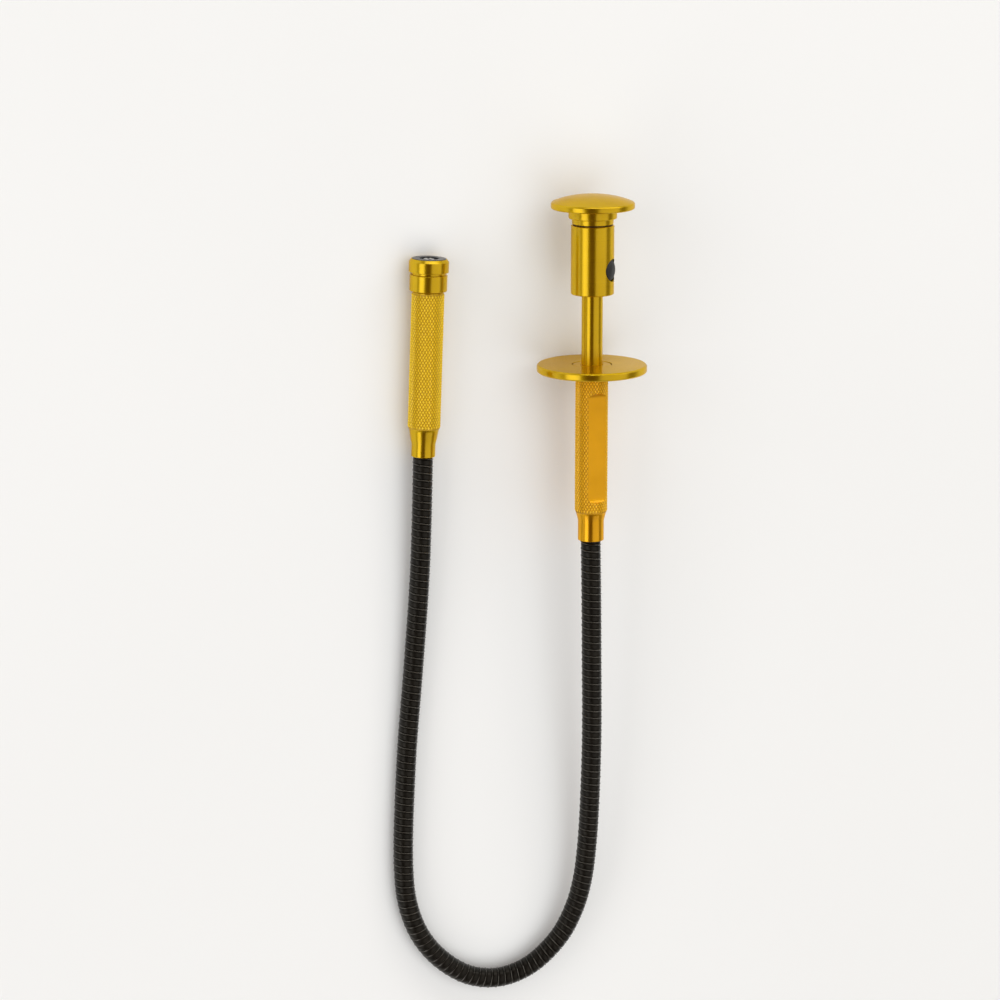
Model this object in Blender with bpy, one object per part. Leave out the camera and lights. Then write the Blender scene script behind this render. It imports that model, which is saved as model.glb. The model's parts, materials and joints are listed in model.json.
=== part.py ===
"""Flexible pickup tool: a push-button handle, a bendable shaft and a magnet head with a claw.

The tool lies on the floor plane Z = 0 with its shaft bent into a U. The handle runs along +Y, its
thumb knob at the +Y end; the head lies beside it and points the same way. Lengths below are in
millimetres and are turned into metres as each mesh is made.

Every handle piece is described in the handle frame (local +Z is world +Y, so a local height is a
world Y), every head piece in the head frame (local +Z runs out through the magnet, 0 at the open
end of the ferrule), and the light button in a frame whose local +Z points out of the barrel.
"""
import math

import bmesh
import bpy
from mathutils import Matrix, Vector

MM = 0.001
FULL_TURN = 2 * math.pi
ROUND_SIDES = 28
SMALL_SIDES = 20
TOUCH_GAP = 0.3

# --- handle, heights along world Y ---
FLANGE_RADIUS = 19.9
HANDLE_X = 25.55
HANDLE_Z = FLANGE_RADIUS
FERRULE_MOUTH = 24.0
FLANGE_BOTTOM = 86.05
FLANGE_TOP = 88.9
BARREL_BOTTOM = 114.45
BARREL_TOP = 139.3
KNOB_APEX = 150.1
PLUNGER_TRAVEL = 22.0

GRIP_RADIUS = 5.95
GRIP_FERRULE_RADIUS = 4.73
SOCKET_DEPTH = 12.5
SPRING_FLOOR = FERRULE_MOUTH + 16.0
SPRING_BORE = 4.15
BUSH_BOTTOM = 80.2
BUSH_SLEEVE = 4.9
ROD_RADIUS = 3.8
ROD_BORE = 1.7
ROD_BOTTOM = 78.2
BARREL_RADIUS = 7.75
BARREL_FLOOR = 118.8
KNOB_RADIUS = 15.0
KNOB_RIM_TOP = 147.2
KNOB_RIM_BOTTOM = 145.2
KNOB_COLLAR_RADIUS = 8.7
KNOB_COLLAR_BOTTOM = 141.7
CAP_NECK_BOTTOM = 139.8
CAP_SKIRT_BOTTOM = 133.5

FLAT_HEIGHT = 4.55
FLAT_START = 38.4
FLAT_END = 79.0
FLAT_END_ARC = 2.5
FLAT_TURN = math.radians(6.3)

# --- light button on the barrel ---
BUTTON_Y = 123.4
BUTTON_AZIMUTH = math.radians(49.5)
BUTTON_RADIUS = 3.85
BUTTON_TOP = 8.15

# --- button cells ---
CELL_RADIUS = 5.8
CELL_PITCH = 5.4
FIRST_CELL = 131.3
CELL_COUNT = 3

# --- head, heights along its own axis ---
HEAD_CAP_RADIUS = 7.1
HEAD_BASE = Vector((-34.3, 56.5, HEAD_CAP_RADIUS))
HEAD_LEAN = math.radians(2.1)
HEAD_GRIP_RADIUS = 5.92
HEAD_FERRULE_RADIUS = 4.33
HEAD_GRIP_TOP = 59.85
COLLAR_RADIUS = 6.7
CAP_BOTTOM = 66.85
CAP_TOP = 71.7
MAGNET_TOP = 71.9
MAGNET_RADIUS = 6.1
MAGNET_BORE = 3.5
SLEEVE_BORE = 3.0
CARRIER_BACK = 36.9
CARRIER_FRONT = 50.9

# --- claw fingers ---
FINGER_COUNT = 4
FINGER_ROOT = 51.3
FINGER_TIP = 71.75
FINGER_RING = 1.7
FINGER_WIDTH = 1.1
FINGER_THICKNESS = 0.7
HOOK_REACH = 0.75
HOOK_DEPTH = 0.55

# --- bendable shaft ---
SHAFT_RADIUS = 3.65
SHAFT_BORE = 2.0
SHAFT_SIDES = 14
ROUTE_STEP = 1.0
SWEEP_EVERY = 11
SPAN_END_SETBACK = 0.75
BEND_HINGES = 11
TIP_HINGES = 4
U_TURN = math.pi
CABLE_RADIUS = 1.1
CABLE_BORE = 0.75
LEAD_RADIUS = 0.45

# Heights of the shaft's centre above the floor: it sags from the handle to the floor along the
# first length and climbs to the head along the last.
FLOOR_HEIGHT = SHAFT_RADIUS + 0.15
SAG_LENGTH = 224.0
CLIMB_LENGTH = 107.0

# Centre of the shaft in plan, from the handle's ferrule round the bend to the head's ferrule.
SHAFT_PLAN = (
    (HANDLE_X, FERRULE_MOUTH),
    (26.6, -15.0),
    (28.2, -60.0),
    (28.1, -95.0),
    (26.8, -110.6),
    (24.2, -121.2),
    (18.5, -132.6),
    (7.4, -143.0),
    (-4.6, -146.8),
    (-16.3, -144.8),
    (-27.7, -136.9),
    (-35.4, -126.8),
    (-40.0, -114.5),
    (-41.6, -100.0),
    (-40.5, -62.0),
    (-37.6, -24.0),
    (-35.4, 11.3),
)


# --- materials ---

def material(name, colour, roughness, metallic):
    """A plain Principled material."""
    made = bpy.data.materials.new(name)
    made.use_nodes = True
    shader = made.node_tree.nodes["Principled BSDF"]
    shader.inputs["Base Color"].default_value = (*colour, 1.0)
    shader.inputs["Roughness"].default_value = roughness
    shader.inputs["Metallic"].default_value = metallic
    made.diffuse_color = (*colour, 1.0)
    return made


def make_materials():
    """All the tool's materials, by name."""
    return {
        "gold": material("gold_anodised", (0.80, 0.52, 0.05), 0.28, 1.0),
        "shaft": material("black_shaft", (0.02, 0.02, 0.018), 0.45, 0.0),
        "rubber": material("button_rubber", (0.02, 0.02, 0.02), 0.7, 0.0),
        "steel": material("bright_steel", (0.62, 0.62, 0.60), 0.3, 1.0),
        "magnet": material("dark_magnet", (0.06, 0.06, 0.062), 0.35, 0.0),
        "brass": material("bronze_bush", (0.60, 0.42, 0.18), 0.35, 1.0),
        "liner": material("white_liner", (0.75, 0.75, 0.72), 0.5, 0.0),
        "board": material("green_board", (0.05, 0.22, 0.08), 0.5, 0.0),
        "lens": material("clear_lamp", (0.85, 0.88, 0.92), 0.1, 0.0),
        "lead": material("red_lead", (0.55, 0.04, 0.03), 0.5, 0.0),
    }


# --- mesh helpers ---

def finish_object(name, mesh, coat, parent=None, location=(0, 0, 0)):
    """Put a mesh in the scene under its parent frame, smooth except at its real edges."""
    mesh.shade_smooth()
    mesh.set_sharp_from_angle(angle=math.radians(32))
    mesh.materials.append(coat)
    made = bpy.data.objects.new(name, mesh)
    bpy.context.scene.collection.objects.link(made)
    made.parent = parent
    made.location = Vector(location) * MM
    return made


def mesh_from(name, verts, faces):
    """A mesh in metres from points in millimetres, with its faces turned outward."""
    mesh = bpy.data.meshes.new(name)
    mesh.from_pydata([tuple(c * MM for c in v) for v in verts], [], faces)
    bm = bmesh.new()
    bm.from_mesh(mesh)
    bmesh.ops.recalc_face_normals(bm, faces=bm.faces)
    bm.to_mesh(mesh)
    bm.free()
    return mesh


def turned_mesh(name, profile, sides):
    """Turn a closed outline of (radius, height) points round local Z.

    An outline that starts and ends on the axis makes a solid piece; one that never touches the
    axis makes a ring.
    """
    verts = []
    rings = []
    for radius, height in profile:
        if radius == 0:
            rings.append([len(verts)] * sides)
            verts.append((0.0, 0.0, height))
            continue
        rings.append(list(range(len(verts), len(verts) + sides)))
        for i in range(sides):
            angle = FULL_TURN * i / sides
            verts.append((radius * math.cos(angle), radius * math.sin(angle), height))
    faces = []
    for upper, lower in zip(rings, rings[1:] + rings[:1]):
        for i in range(sides):
            j = (i + 1) % sides
            corners = dict.fromkeys((upper[i], upper[j], lower[j], lower[i]))
            if len(corners) > 2:
                faces.append(tuple(corners))
    return mesh_from(name, verts, faces)


def turned(name, profile, coat, parent, sides=ROUND_SIDES, location=(0, 0, 0)):
    """A turned piece in its parent's frame."""
    return finish_object(name, turned_mesh(name, profile, sides), coat, parent, location)


def ring_profile(inner, outer, low, high, chamfer=0.0):
    """Outline of a plain ring, its outer edges broken by a chamfer."""
    if not chamfer:
        return [(outer, high), (outer, low), (inner, low), (inner, high)]
    return [
        (outer - chamfer, high),
        (outer, high - chamfer),
        (outer, low + chamfer),
        (outer - chamfer, low),
        (inner, low),
        (inner, high),
    ]


def disc_profile(outer, low, high, chamfer=0.1):
    """Outline of a plain solid disc with broken edges."""
    return [
        (0, high),
        (outer - chamfer, high),
        (outer, high - chamfer),
        (outer, low + chamfer),
        (outer - chamfer, low),
        (0, low),
    ]


def box_mesh(name, low, high):
    """A box between two corners."""
    xs, ys, zs = zip(low, high)
    verts = [(x, y, z) for x in xs for y in ys for z in zs]
    faces = [(0, 1, 3, 2), (4, 6, 7, 5), (0, 4, 5, 1), (2, 3, 7, 6), (0, 2, 6, 4), (1, 5, 7, 3)]
    return mesh_from(name, verts, faces)


def prism_mesh(name, outline, half_width):
    """Extrude an outline in local Y and Z to both sides along local X."""
    count = len(outline)
    verts = [(-half_width, y, z) for y, z in outline]
    verts += [(half_width, y, z) for y, z in outline]
    faces = [tuple(range(count)), tuple(range(2 * count - 1, count - 1, -1))]
    for i in range(count):
        j = (i + 1) % count
        faces.append((i, i + count, j + count, j))
    return mesh_from(name, verts, faces)


def tube_mesh(name, path, outer, inner, sides):
    """Sweep a ring along a path; its rings stand square to the path."""
    verts = []
    last = len(path) - 1
    for i, point in enumerate(path):
        along = (path[min(i + 1, last)] - path[max(i - 1, 0)]).normalized()
        side = along.cross(Vector((0, 0, 1))).normalized()
        top = side.cross(along)
        for radius in (outer, inner):
            for k in range(sides):
                angle = FULL_TURN * k / sides
                verts.append(point + side * (radius * math.cos(angle)) + top * (radius * math.sin(angle)))
    faces = []
    for k in range(sides):
        n = (k + 1) % sides
        for i in range(last):
            base, ahead = 2 * sides * i, 2 * sides * (i + 1)
            faces.append((base + k, base + n, ahead + n, ahead + k))
            faces.append((base + sides + n, base + sides + k, ahead + sides + k, ahead + sides + n))
        faces.append((k, k + sides, n + sides, n))
        end = 2 * sides * last
        faces.append((end + k, end + n, end + n + sides, end + k + sides))
    return mesh_from(name, verts, faces)


def wire(name, points, radius, coat, parent=None, resolution=1):
    """A round wire through points in the parent's frame, with closed ends."""
    curve = bpy.data.curves.new(name, "CURVE")
    curve.dimensions = "3D"
    curve.bevel_depth = radius * MM
    curve.bevel_resolution = resolution
    curve.use_fill_caps = True
    spline = curve.splines.new("POLY")
    spline.points.add(len(points) - 1)
    for target, point in zip(spline.points, points):
        target.co = (*(Vector(point) * MM), 1.0)
    curve.materials.append(coat)
    made = bpy.data.objects.new(name, curve)
    bpy.context.scene.collection.objects.link(made)
    made.parent = parent
    return made


def cut(piece, cutter):
    """Cut a helper shape out of a piece."""
    cutter.hide_render = True
    cutter.display_type = "WIRE"
    boolean = piece.modifiers.new(cutter.name, "BOOLEAN")
    boolean.operation = "DIFFERENCE"
    boolean.object = cutter


def frame(name, location, rotation, parent=None):
    """An empty that carries pieces, at a place in millimetres."""
    made = bpy.data.objects.new(name, None)
    bpy.context.scene.collection.objects.link(made)
    made.parent = parent
    made.location = Vector(location) * MM
    made.rotation_euler = rotation
    return made


def arc(centre, radius, start, end, steps):
    """Points on an arc, angles in degrees, both ends included."""
    points = []
    for i in range(steps + 1):
        angle = math.radians(start + (end - start) * i / steps)
        points.append((centre[0] + radius * math.cos(angle), centre[1] + radius * math.sin(angle)))
    return points


# --- the shaft's route ---

def ease(value):
    """0 to 1 with level ends."""
    value = min(1.0, max(0.0, value))
    return value * value * (3 - 2 * value)


def curve_through(points, per_piece=24):
    """A smooth plane curve through points (centripetal Catmull-Rom)."""
    ends = [points[0] * 2 - points[1], *points, points[-1] * 2 - points[-2]]
    out = []
    for p0, p1, p2, p3 in zip(ends, ends[1:], ends[2:], ends[3:]):
        t1 = math.sqrt((p1 - p0).length)
        t2 = t1 + math.sqrt((p2 - p1).length)
        t3 = t2 + math.sqrt((p3 - p2).length)
        for i in range(per_piece):
            t = t1 + (t2 - t1) * i / per_piece
            a1 = p0 * ((t1 - t) / t1) + p1 * (t / t1)
            a2 = p1 * ((t2 - t) / (t2 - t1)) + p2 * ((t - t1) / (t2 - t1))
            a3 = p2 * ((t3 - t) / (t3 - t2)) + p3 * ((t - t2) / (t3 - t2))
            b1 = a1 * ((t2 - t) / t2) + a2 * (t / t2)
            b2 = a2 * ((t3 - t) / (t3 - t1)) + a3 * ((t - t1) / (t3 - t1))
            out.append(b1 * ((t2 - t) / (t2 - t1)) + b2 * ((t - t1) / (t2 - t1)))
    out.append(points[-1])
    return out


def even_steps(points, step):
    """The same line with points an even distance apart."""
    travelled = [0.0]
    for a, b in zip(points, points[1:]):
        travelled.append(travelled[-1] + (b - a).length)
    count = round(travelled[-1] / step)
    out = []
    piece = 0
    for i in range(count + 1):
        target = travelled[-1] * i / count
        while piece < len(points) - 2 and travelled[piece + 1] < target:
            piece += 1
        share = (target - travelled[piece]) / (travelled[piece + 1] - travelled[piece])
        out.append(points[piece].lerp(points[piece + 1], share))
    return out


def head_axis():
    """Unit vector out through the magnet."""
    return Vector((math.sin(HEAD_LEAN), math.cos(HEAD_LEAN), 0.0))


def shaft_route():
    """The shaft's centre line, end to end inside both sockets, in even steps."""
    mouth = Vector((HANDLE_X, FERRULE_MOUTH, 0))
    head = Vector((HEAD_BASE.x, HEAD_BASE.y, 0))
    plan = [mouth + Vector((0, SOCKET_DEPTH * share, 0)) for share in (0.98, 0.5)]
    plan += [Vector((x, y, 0)) for x, y in SHAFT_PLAN]
    plan += [head + head_axis() * (SOCKET_DEPTH * share) for share in (0, 0.5, 0.96)]
    flat = even_steps(curve_through(plan), ROUTE_STEP)
    first = SOCKET_DEPTH
    last = (len(flat) - 1) * ROUTE_STEP - SOCKET_DEPTH
    out = []
    for i, point in enumerate(flat):
        here = i * ROUTE_STEP
        sag = (HANDLE_Z - FLOOR_HEIGHT) * ease((here - first) / SAG_LENGTH)
        climb = (HEAD_CAP_RADIUS - FLOOR_HEIGHT) * ease((here - last + CLIMB_LENGTH) / CLIMB_LENGTH)
        out.append(Vector((point.x, point.y, HANDLE_Z - sag + climb)))
    return out


def heading(route, index):
    """How far the shaft has turned in plan since the handle, in radians."""
    along = route[min(index + 1, len(route) - 1)] - route[max(index - 1, 0)]
    return math.atan2(-along.x, -along.y) % FULL_TURN


def hinge_indices(route):
    """Where the shaft is hinged: at even turns round the U, then at even lengths to the head."""
    out = []
    start = len(route) // 5
    for i in range(BEND_HINGES):
        target = U_TURN * (i + 0.5) / BEND_HINGES
        index = start
        while not target <= heading(route, index) < math.pi * 1.5:
            index += 1
        out.append(index)
    arm = (len(route) - 1 - round(SOCKET_DEPTH / ROUTE_STEP) - out[-1]) / (TIP_HINGES + 1)
    out += [round(out[BEND_HINGES - 1] + arm * (i + 1)) for i in range(TIP_HINGES)]
    return out


def thinned(path):
    """Both ends of a finely stepped path and every few points between, evenly shared out."""
    pieces = max(1, round((len(path) - 1) / SWEEP_EVERY))
    return [path[round((len(path) - 1) * i / pieces)] for i in range(pieces + 1)]


def span_name(number):
    """Node name of one span of the shaft, 1 at the handle."""
    return f"shaft_span_{number:02d}"


def make_shaft(coats):
    """The bendable sheath as short hollow spans, each with its origin on its hinge."""
    route = shaft_route()
    hinges = hinge_indices(route)
    bounds = [0, *hinges, len(route) - 1]
    for number, (first, last) in enumerate(zip(bounds, bounds[1:]), start=1):
        path = [point.copy() for point in route[first:last + 1]]
        if number > 1:
            path[0] = path[0] + (path[1] - path[0]).normalized() * SPAN_END_SETBACK
        if number <= len(hinges):
            path[-1] = path[-1] + (path[-2] - path[-1]).normalized() * SPAN_END_SETBACK
        path = thinned(path)
        origin = route[first]
        local = [point - origin for point in path]
        name = span_name(number)
        mesh = tube_mesh(name, local, SHAFT_RADIUS, SHAFT_BORE, SHAFT_SIDES)
        finish_object(name, mesh, coats["shaft"], None, origin)


def make_cable(coats):
    """The drive cable that joins rod and claw, a hollow coil sheath, and the lamp lead inside it."""
    route = shaft_route()
    inner = thinned(route[2:-2])
    in_rod = [Vector((HANDLE_X, y, HANDLE_Z)) for y in (83.0, 60.0, FERRULE_MOUTH + SOCKET_DEPTH + 3)]
    in_head = [HEAD_BASE + head_axis() * t for t in (SOCKET_DEPTH + 3, 26.0, 40.5)]
    mesh = tube_mesh("drive_cable", [*in_rod, *inner, *in_head], CABLE_RADIUS, CABLE_BORE, 6)
    finish_object("drive_cable", mesh, coats["steel"])
    lead_start = [Vector((HANDLE_X, 119.0, HANDLE_Z)), Vector((HANDLE_X, 100.0, HANDLE_Z))]
    lead_end = [HEAD_BASE + head_axis() * t for t in (50.0, 67.8)]
    wire("lamp_lead", [*lead_start, *in_rod, *inner, *in_head, *lead_end], LEAD_RADIUS, coats["lead"])


# --- handle ---

def make_grip(coats, axis):
    """Knurled grip with the spring chamber inside, the shaft socket below and a milled label flat."""
    socket_top = FERRULE_MOUTH + SOCKET_DEPTH
    profile = [
        (GRIP_RADIUS, FLANGE_BOTTOM - TOUCH_GAP),
        (GRIP_RADIUS, 34.4),
        (GRIP_RADIUS - 0.45, 33.8),
        (GRIP_FERRULE_RADIUS + 0.25, 32.4),
        (GRIP_FERRULE_RADIUS, 31.2),
        (GRIP_FERRULE_RADIUS, FERRULE_MOUTH + 0.25),
        (GRIP_FERRULE_RADIUS - 0.25, FERRULE_MOUTH),
        (SHAFT_RADIUS + TOUCH_GAP, FERRULE_MOUTH),
        (SHAFT_RADIUS + TOUCH_GAP, socket_top),
        (1.6, socket_top),
        (1.6, SPRING_FLOOR),
        (SPRING_BORE, SPRING_FLOOR),
        (SPRING_BORE, BUSH_BOTTOM - TOUCH_GAP),
        (BUSH_SLEEVE + 0.15, BUSH_BOTTOM - TOUCH_GAP),
        (BUSH_SLEEVE + 0.15, FLANGE_BOTTOM - TOUCH_GAP),
    ]
    grip = turned("handle_grip", profile, coats["gold"], axis)
    cut(grip, label_flat_cutter(axis))


def label_flat_cutter(axis):
    """A slab whose ends curve up, as a round cutter leaves them, turned a little from straight up.

    World up is local -Y here.
    """
    far = FLAT_HEIGHT + 2.0
    centre = FLAT_HEIGHT + FLAT_END_ARC
    sweep = math.acos((centre - GRIP_RADIUS) / FLAT_END_ARC)
    run = FLAT_END_ARC * math.sin(sweep)
    swept = math.degrees(sweep)
    low_end = arc((FLAT_START + run, centre), FLAT_END_ARC, -90 - swept, -90, 6)
    high_end = arc((FLAT_END - run, centre), FLAT_END_ARC, -90, -90 + swept, 6)
    side = [(FLAT_START - 1.0, far), *low_end, *high_end, (FLAT_END + 1.0, far)]
    outline = [(-up, along) for along, up in side]
    mesh = prism_mesh("label_flat_cutter", outline, GRIP_RADIUS)
    cutter = bpy.data.objects.new("label_flat_cutter", mesh)
    bpy.context.scene.collection.objects.link(cutter)
    cutter.parent = axis
    cutter.rotation_euler = (0, 0, FLAT_TURN)
    return cutter


def make_flange(coats, axis):
    """Round finger rest, clamped between the grip and the headed bush."""
    edge = 0.35
    head_seat = 87.4
    profile = [
        (FLANGE_RADIUS - edge, FLANGE_TOP),
        (FLANGE_RADIUS, FLANGE_TOP - edge),
        (FLANGE_RADIUS, FLANGE_BOTTOM + edge),
        (FLANGE_RADIUS - edge, FLANGE_BOTTOM),
        (BUSH_SLEEVE + TOUCH_GAP, FLANGE_BOTTOM),
        (BUSH_SLEEVE + TOUCH_GAP, head_seat),
        (7.2, head_seat),
        (7.2, FLANGE_TOP),
    ]
    turned("finger_flange", profile, coats["gold"], axis, sides=44)


def make_bush(coats, axis):
    """Headed bush that guides the rod and screws the flange down onto the grip."""
    bore = ROD_RADIUS + 0.1
    profile = [
        (6.95, FLANGE_TOP - 0.1),
        (6.95, 87.7),
        (BUSH_SLEEVE, 87.7),
        (BUSH_SLEEVE, BUSH_BOTTOM),
        (bore, BUSH_BOTTOM),
        (bore, FLANGE_TOP - 0.3),
        (bore + 0.25, FLANGE_TOP - 0.1),
    ]
    turned("rod_guide_bush", profile, coats["gold"], axis)


def helix(radius_low, radius_high, low, high, turns, steps_per_turn=10):
    """Points of a coil spring between two heights, its radius changing evenly."""
    count = round(turns * steps_per_turn)
    points = []
    for i in range(count + 1):
        share = i / count
        angle = FULL_TURN * turns * share
        radius = radius_low + (radius_high - radius_low) * share
        points.append((radius * math.cos(angle), radius * math.sin(angle), low + (high - low) * share))
    return points


def make_return_spring(coats, axis):
    """Coil spring under the rod and the washer it stands on."""
    washer = ring_profile(1.7, 3.9, SPRING_FLOOR + TOUCH_GAP, SPRING_FLOOR + 1.0)
    turned("spring_seat_washer", washer, coats["steel"], axis, SMALL_SIDES)
    wire_radius = 0.35
    low = SPRING_FLOOR + 1.0 + TOUCH_GAP + wire_radius
    high = ROD_BOTTOM - TOUCH_GAP - wire_radius
    coil = helix(3.5, 3.5, low, high, 8)
    wire("plunger_return_spring", coil, wire_radius, coats["steel"], axis)


# --- plunger ---

def make_rod(coats, axis):
    """Hollow rod that slides in the bush, with a groove for its stop clip."""
    groove_low, groove_high, groove_radius = 78.9, 80.1, 3.3
    profile = [
        (ROD_RADIUS, BARREL_FLOOR - TOUCH_GAP),
        (ROD_RADIUS, groove_high),
        (groove_radius, groove_high),
        (groove_radius, groove_low),
        (ROD_RADIUS, groove_low),
        (ROD_RADIUS, ROD_BOTTOM),
        (ROD_BORE, ROD_BOTTOM),
        (ROD_BORE, BARREL_FLOOR - TOUCH_GAP),
    ]
    turned("plunger_rod", profile, coats["gold"], axis)
    clip = turned("rod_stop_clip", ring_profile(3.4, 4.05, 79.1, 79.9), coats["steel"], axis)
    slot = bpy.data.objects.new("clip_slot_cutter", box_mesh("clip_slot", (-2, 1, 78), (2, 6, 81)))
    bpy.context.scene.collection.objects.link(slot)
    slot.parent = axis
    cut(clip, slot)
    crimp = ring_profile(CABLE_RADIUS + 0.1, ROD_BORE - 0.15, 82.0, 86.0)
    turned("cable_crimp", crimp, coats["brass"], axis, SMALL_SIDES)


def make_barrel(coats, axis, button_axis):
    """Barrel for the switch and cells; the light button comes out of its side."""
    edge = 0.3
    thread_bore, switch_bore, thread_floor = 6.9, 6.6, 129.9
    profile = [
        (BARREL_RADIUS - edge, BARREL_TOP),
        (BARREL_RADIUS, BARREL_TOP - edge),
        (BARREL_RADIUS, BARREL_BOTTOM + edge),
        (BARREL_RADIUS - edge, BARREL_BOTTOM),
        (ROD_RADIUS + TOUCH_GAP, BARREL_BOTTOM),
        (ROD_RADIUS + TOUCH_GAP, BARREL_FLOOR),
        (switch_bore, BARREL_FLOOR),
        (switch_bore, thread_floor),
        (thread_bore, thread_floor),
        (thread_bore, BARREL_TOP),
    ]
    barrel = turned("battery_barrel", profile, coats["gold"], axis)
    hole_mesh = turned_mesh("button_hole", disc_profile(BUTTON_RADIUS + 0.25, 4.0, 9.0), 32)
    hole = bpy.data.objects.new("button_hole_cutter", hole_mesh)
    bpy.context.scene.collection.objects.link(hole)
    hole.parent = button_axis
    cut(barrel, hole)


def make_switch(coats, axis):
    """Circuit board on the barrel's mid-plane and the push switch on it."""
    board = box_mesh("switch_board", (-5.4, -4.2, -0.5), (5.4, 3.8, 0.5))
    finish_object("switch_board", board, coats["board"], axis)
    profile = [(0, 3.0), (1.2, 3.0), (1.2, 2.6), (2.4, 2.6), (2.4, 0.8), (0, 0.8)]
    turned("push_switch", profile, coats["steel"], axis, SMALL_SIDES)


def make_light_button(coats, axis):
    """Domed rubber button with a foot that keeps it in the barrel."""
    dome_rise = BUTTON_TOP - 7.0
    dome = []
    for i in range(5):
        share = i / 4
        dome.append((BUTTON_RADIUS * share, 7.0 + dome_rise * (1 - share ** 2.4)))
    profile = [*dome, (BUTTON_RADIUS, 4.5), (4.3, 4.5), (4.3, 3.9), (0, 3.9)]
    turned("light_button", profile, coats["rubber"], axis, 24)


def make_cells(coats, axis):
    """Three button cells, the contact below them and its spring."""
    turned("battery_contact", disc_profile(6.3, 129.1, 129.7), coats["brass"], axis, SMALL_SIDES)
    wire_radius = 0.2
    coil = helix(4.8, 2.0, 130.0 + wire_radius, FIRST_CELL - TOUCH_GAP - wire_radius, 2)
    wire("battery_spring", coil, wire_radius, coats["steel"], axis)
    for i in range(CELL_COUNT):
        low = FIRST_CELL + CELL_PITCH * i
        profile = disc_profile(CELL_RADIUS, low, low + CELL_PITCH - TOUCH_GAP, 0.3)
        turned(f"button_cell_{i + 1}", profile, coats["steel"], axis, 24)


def make_knob(coats, axis):
    """Mushroom thumb knob that is also the screw cap over the cells, and its seal."""
    dome_base = KNOB_RIM_TOP + 0.3
    edge_radius = KNOB_RADIUS - 0.3
    dome = []
    for i in range(7):
        share = i / 6
        dome.append((edge_radius * share, dome_base + (KNOB_APEX - dome_base) * (1 - share ** 2.4)))
    cavity, cavity_top = 6.1, 147.5
    profile = [
        *dome,
        (KNOB_RADIUS, KNOB_RIM_TOP),
        (KNOB_RADIUS, KNOB_RIM_BOTTOM + 0.2),
        (KNOB_RADIUS - 0.2, KNOB_RIM_BOTTOM),
        (KNOB_COLLAR_RADIUS, KNOB_RIM_BOTTOM),
        (KNOB_COLLAR_RADIUS, KNOB_COLLAR_BOTTOM + 0.2),
        (KNOB_COLLAR_RADIUS - 0.2, KNOB_COLLAR_BOTTOM),
        (7.45, KNOB_COLLAR_BOTTOM),
        (7.45, CAP_NECK_BOTTOM),
        (6.65, CAP_NECK_BOTTOM),
        (6.65, CAP_SKIRT_BOTTOM),
        (cavity, CAP_SKIRT_BOTTOM),
        (cavity, cavity_top),
        (0, cavity_top),
    ]
    turned("thumb_knob", profile, coats["gold"], axis, sides=36)
    seal = arc((7.0, (BARREL_TOP + CAP_NECK_BOTTOM) / 2), 0.15, 0, 300, 5)
    turned("cap_seal", seal, coats["rubber"], axis)


# --- head ---

def make_head_grip(coats, axis):
    """Knurled head tube: shaft socket at its foot, claw chamber above, spigot for the collar."""
    profile = [
        (5.2, 64.4),
        (5.2, HEAD_GRIP_TOP),
        (HEAD_GRIP_RADIUS, HEAD_GRIP_TOP),
        (HEAD_GRIP_RADIUS, 10.3),
        (HEAD_GRIP_RADIUS - 0.35, 9.5),
        (HEAD_FERRULE_RADIUS + 0.4, 6.3),
        (HEAD_FERRULE_RADIUS, 4.6),
        (HEAD_FERRULE_RADIUS, 0.2),
        (HEAD_FERRULE_RADIUS - 0.2, 0),
        (SHAFT_RADIUS + TOUCH_GAP, 0),
        (SHAFT_RADIUS + TOUCH_GAP, SOCKET_DEPTH),
        (1.7, SOCKET_DEPTH),
        (1.7, SOCKET_DEPTH + 3),
        (4.6, SOCKET_DEPTH + 3),
        (4.6, 64.4),
    ]
    turned("head_grip", profile, coats["gold"], axis)


def make_collar(coats, axis):
    """Plain collar under the magnet cap; its neck shows as the groove between them."""
    edge = 0.15
    profile = [
        (6.05, 68.2),
        (6.05, 66.05),
        (COLLAR_RADIUS - edge, 66.05),
        (COLLAR_RADIUS, 66.05 - edge),
        (COLLAR_RADIUS, HEAD_GRIP_TOP + TOUCH_GAP + edge),
        (COLLAR_RADIUS - edge, HEAD_GRIP_TOP + TOUCH_GAP),
        (5.45, HEAD_GRIP_TOP + TOUCH_GAP),
        (5.45, 68.2),
    ]
    turned("head_collar", profile, coats["gold"], axis)


def make_cap(coats, axis):
    """Bezel round the stepped ring magnet, with a broad chamfer round its front."""
    bore = MAGNET_RADIUS + 0.15
    profile = [
        (bore, CAP_TOP),
        (HEAD_CAP_RADIUS - 0.75, CAP_TOP),
        (HEAD_CAP_RADIUS, CAP_TOP - 1.0),
        (HEAD_CAP_RADIUS, CAP_BOTTOM + 0.15),
        (HEAD_CAP_RADIUS - 0.15, CAP_BOTTOM),
        (bore, CAP_BOTTOM),
    ]
    turned("head_cap", profile, coats["gold"], axis)
    magnet = [
        (MAGNET_RADIUS, MAGNET_TOP),
        (MAGNET_RADIUS, 68.5),
        (5.15, 68.5),
        (5.15, 65.5),
        (MAGNET_BORE, 65.5),
        (MAGNET_BORE, MAGNET_TOP),
    ]
    turned("magnet_ring", magnet, coats["magnet"], axis)
    sleeve = ring_profile(SLEEVE_BORE, 4.3, 34.0, 65.2)
    turned("claw_guide_sleeve", sleeve, coats["liner"], axis, 24)


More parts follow.
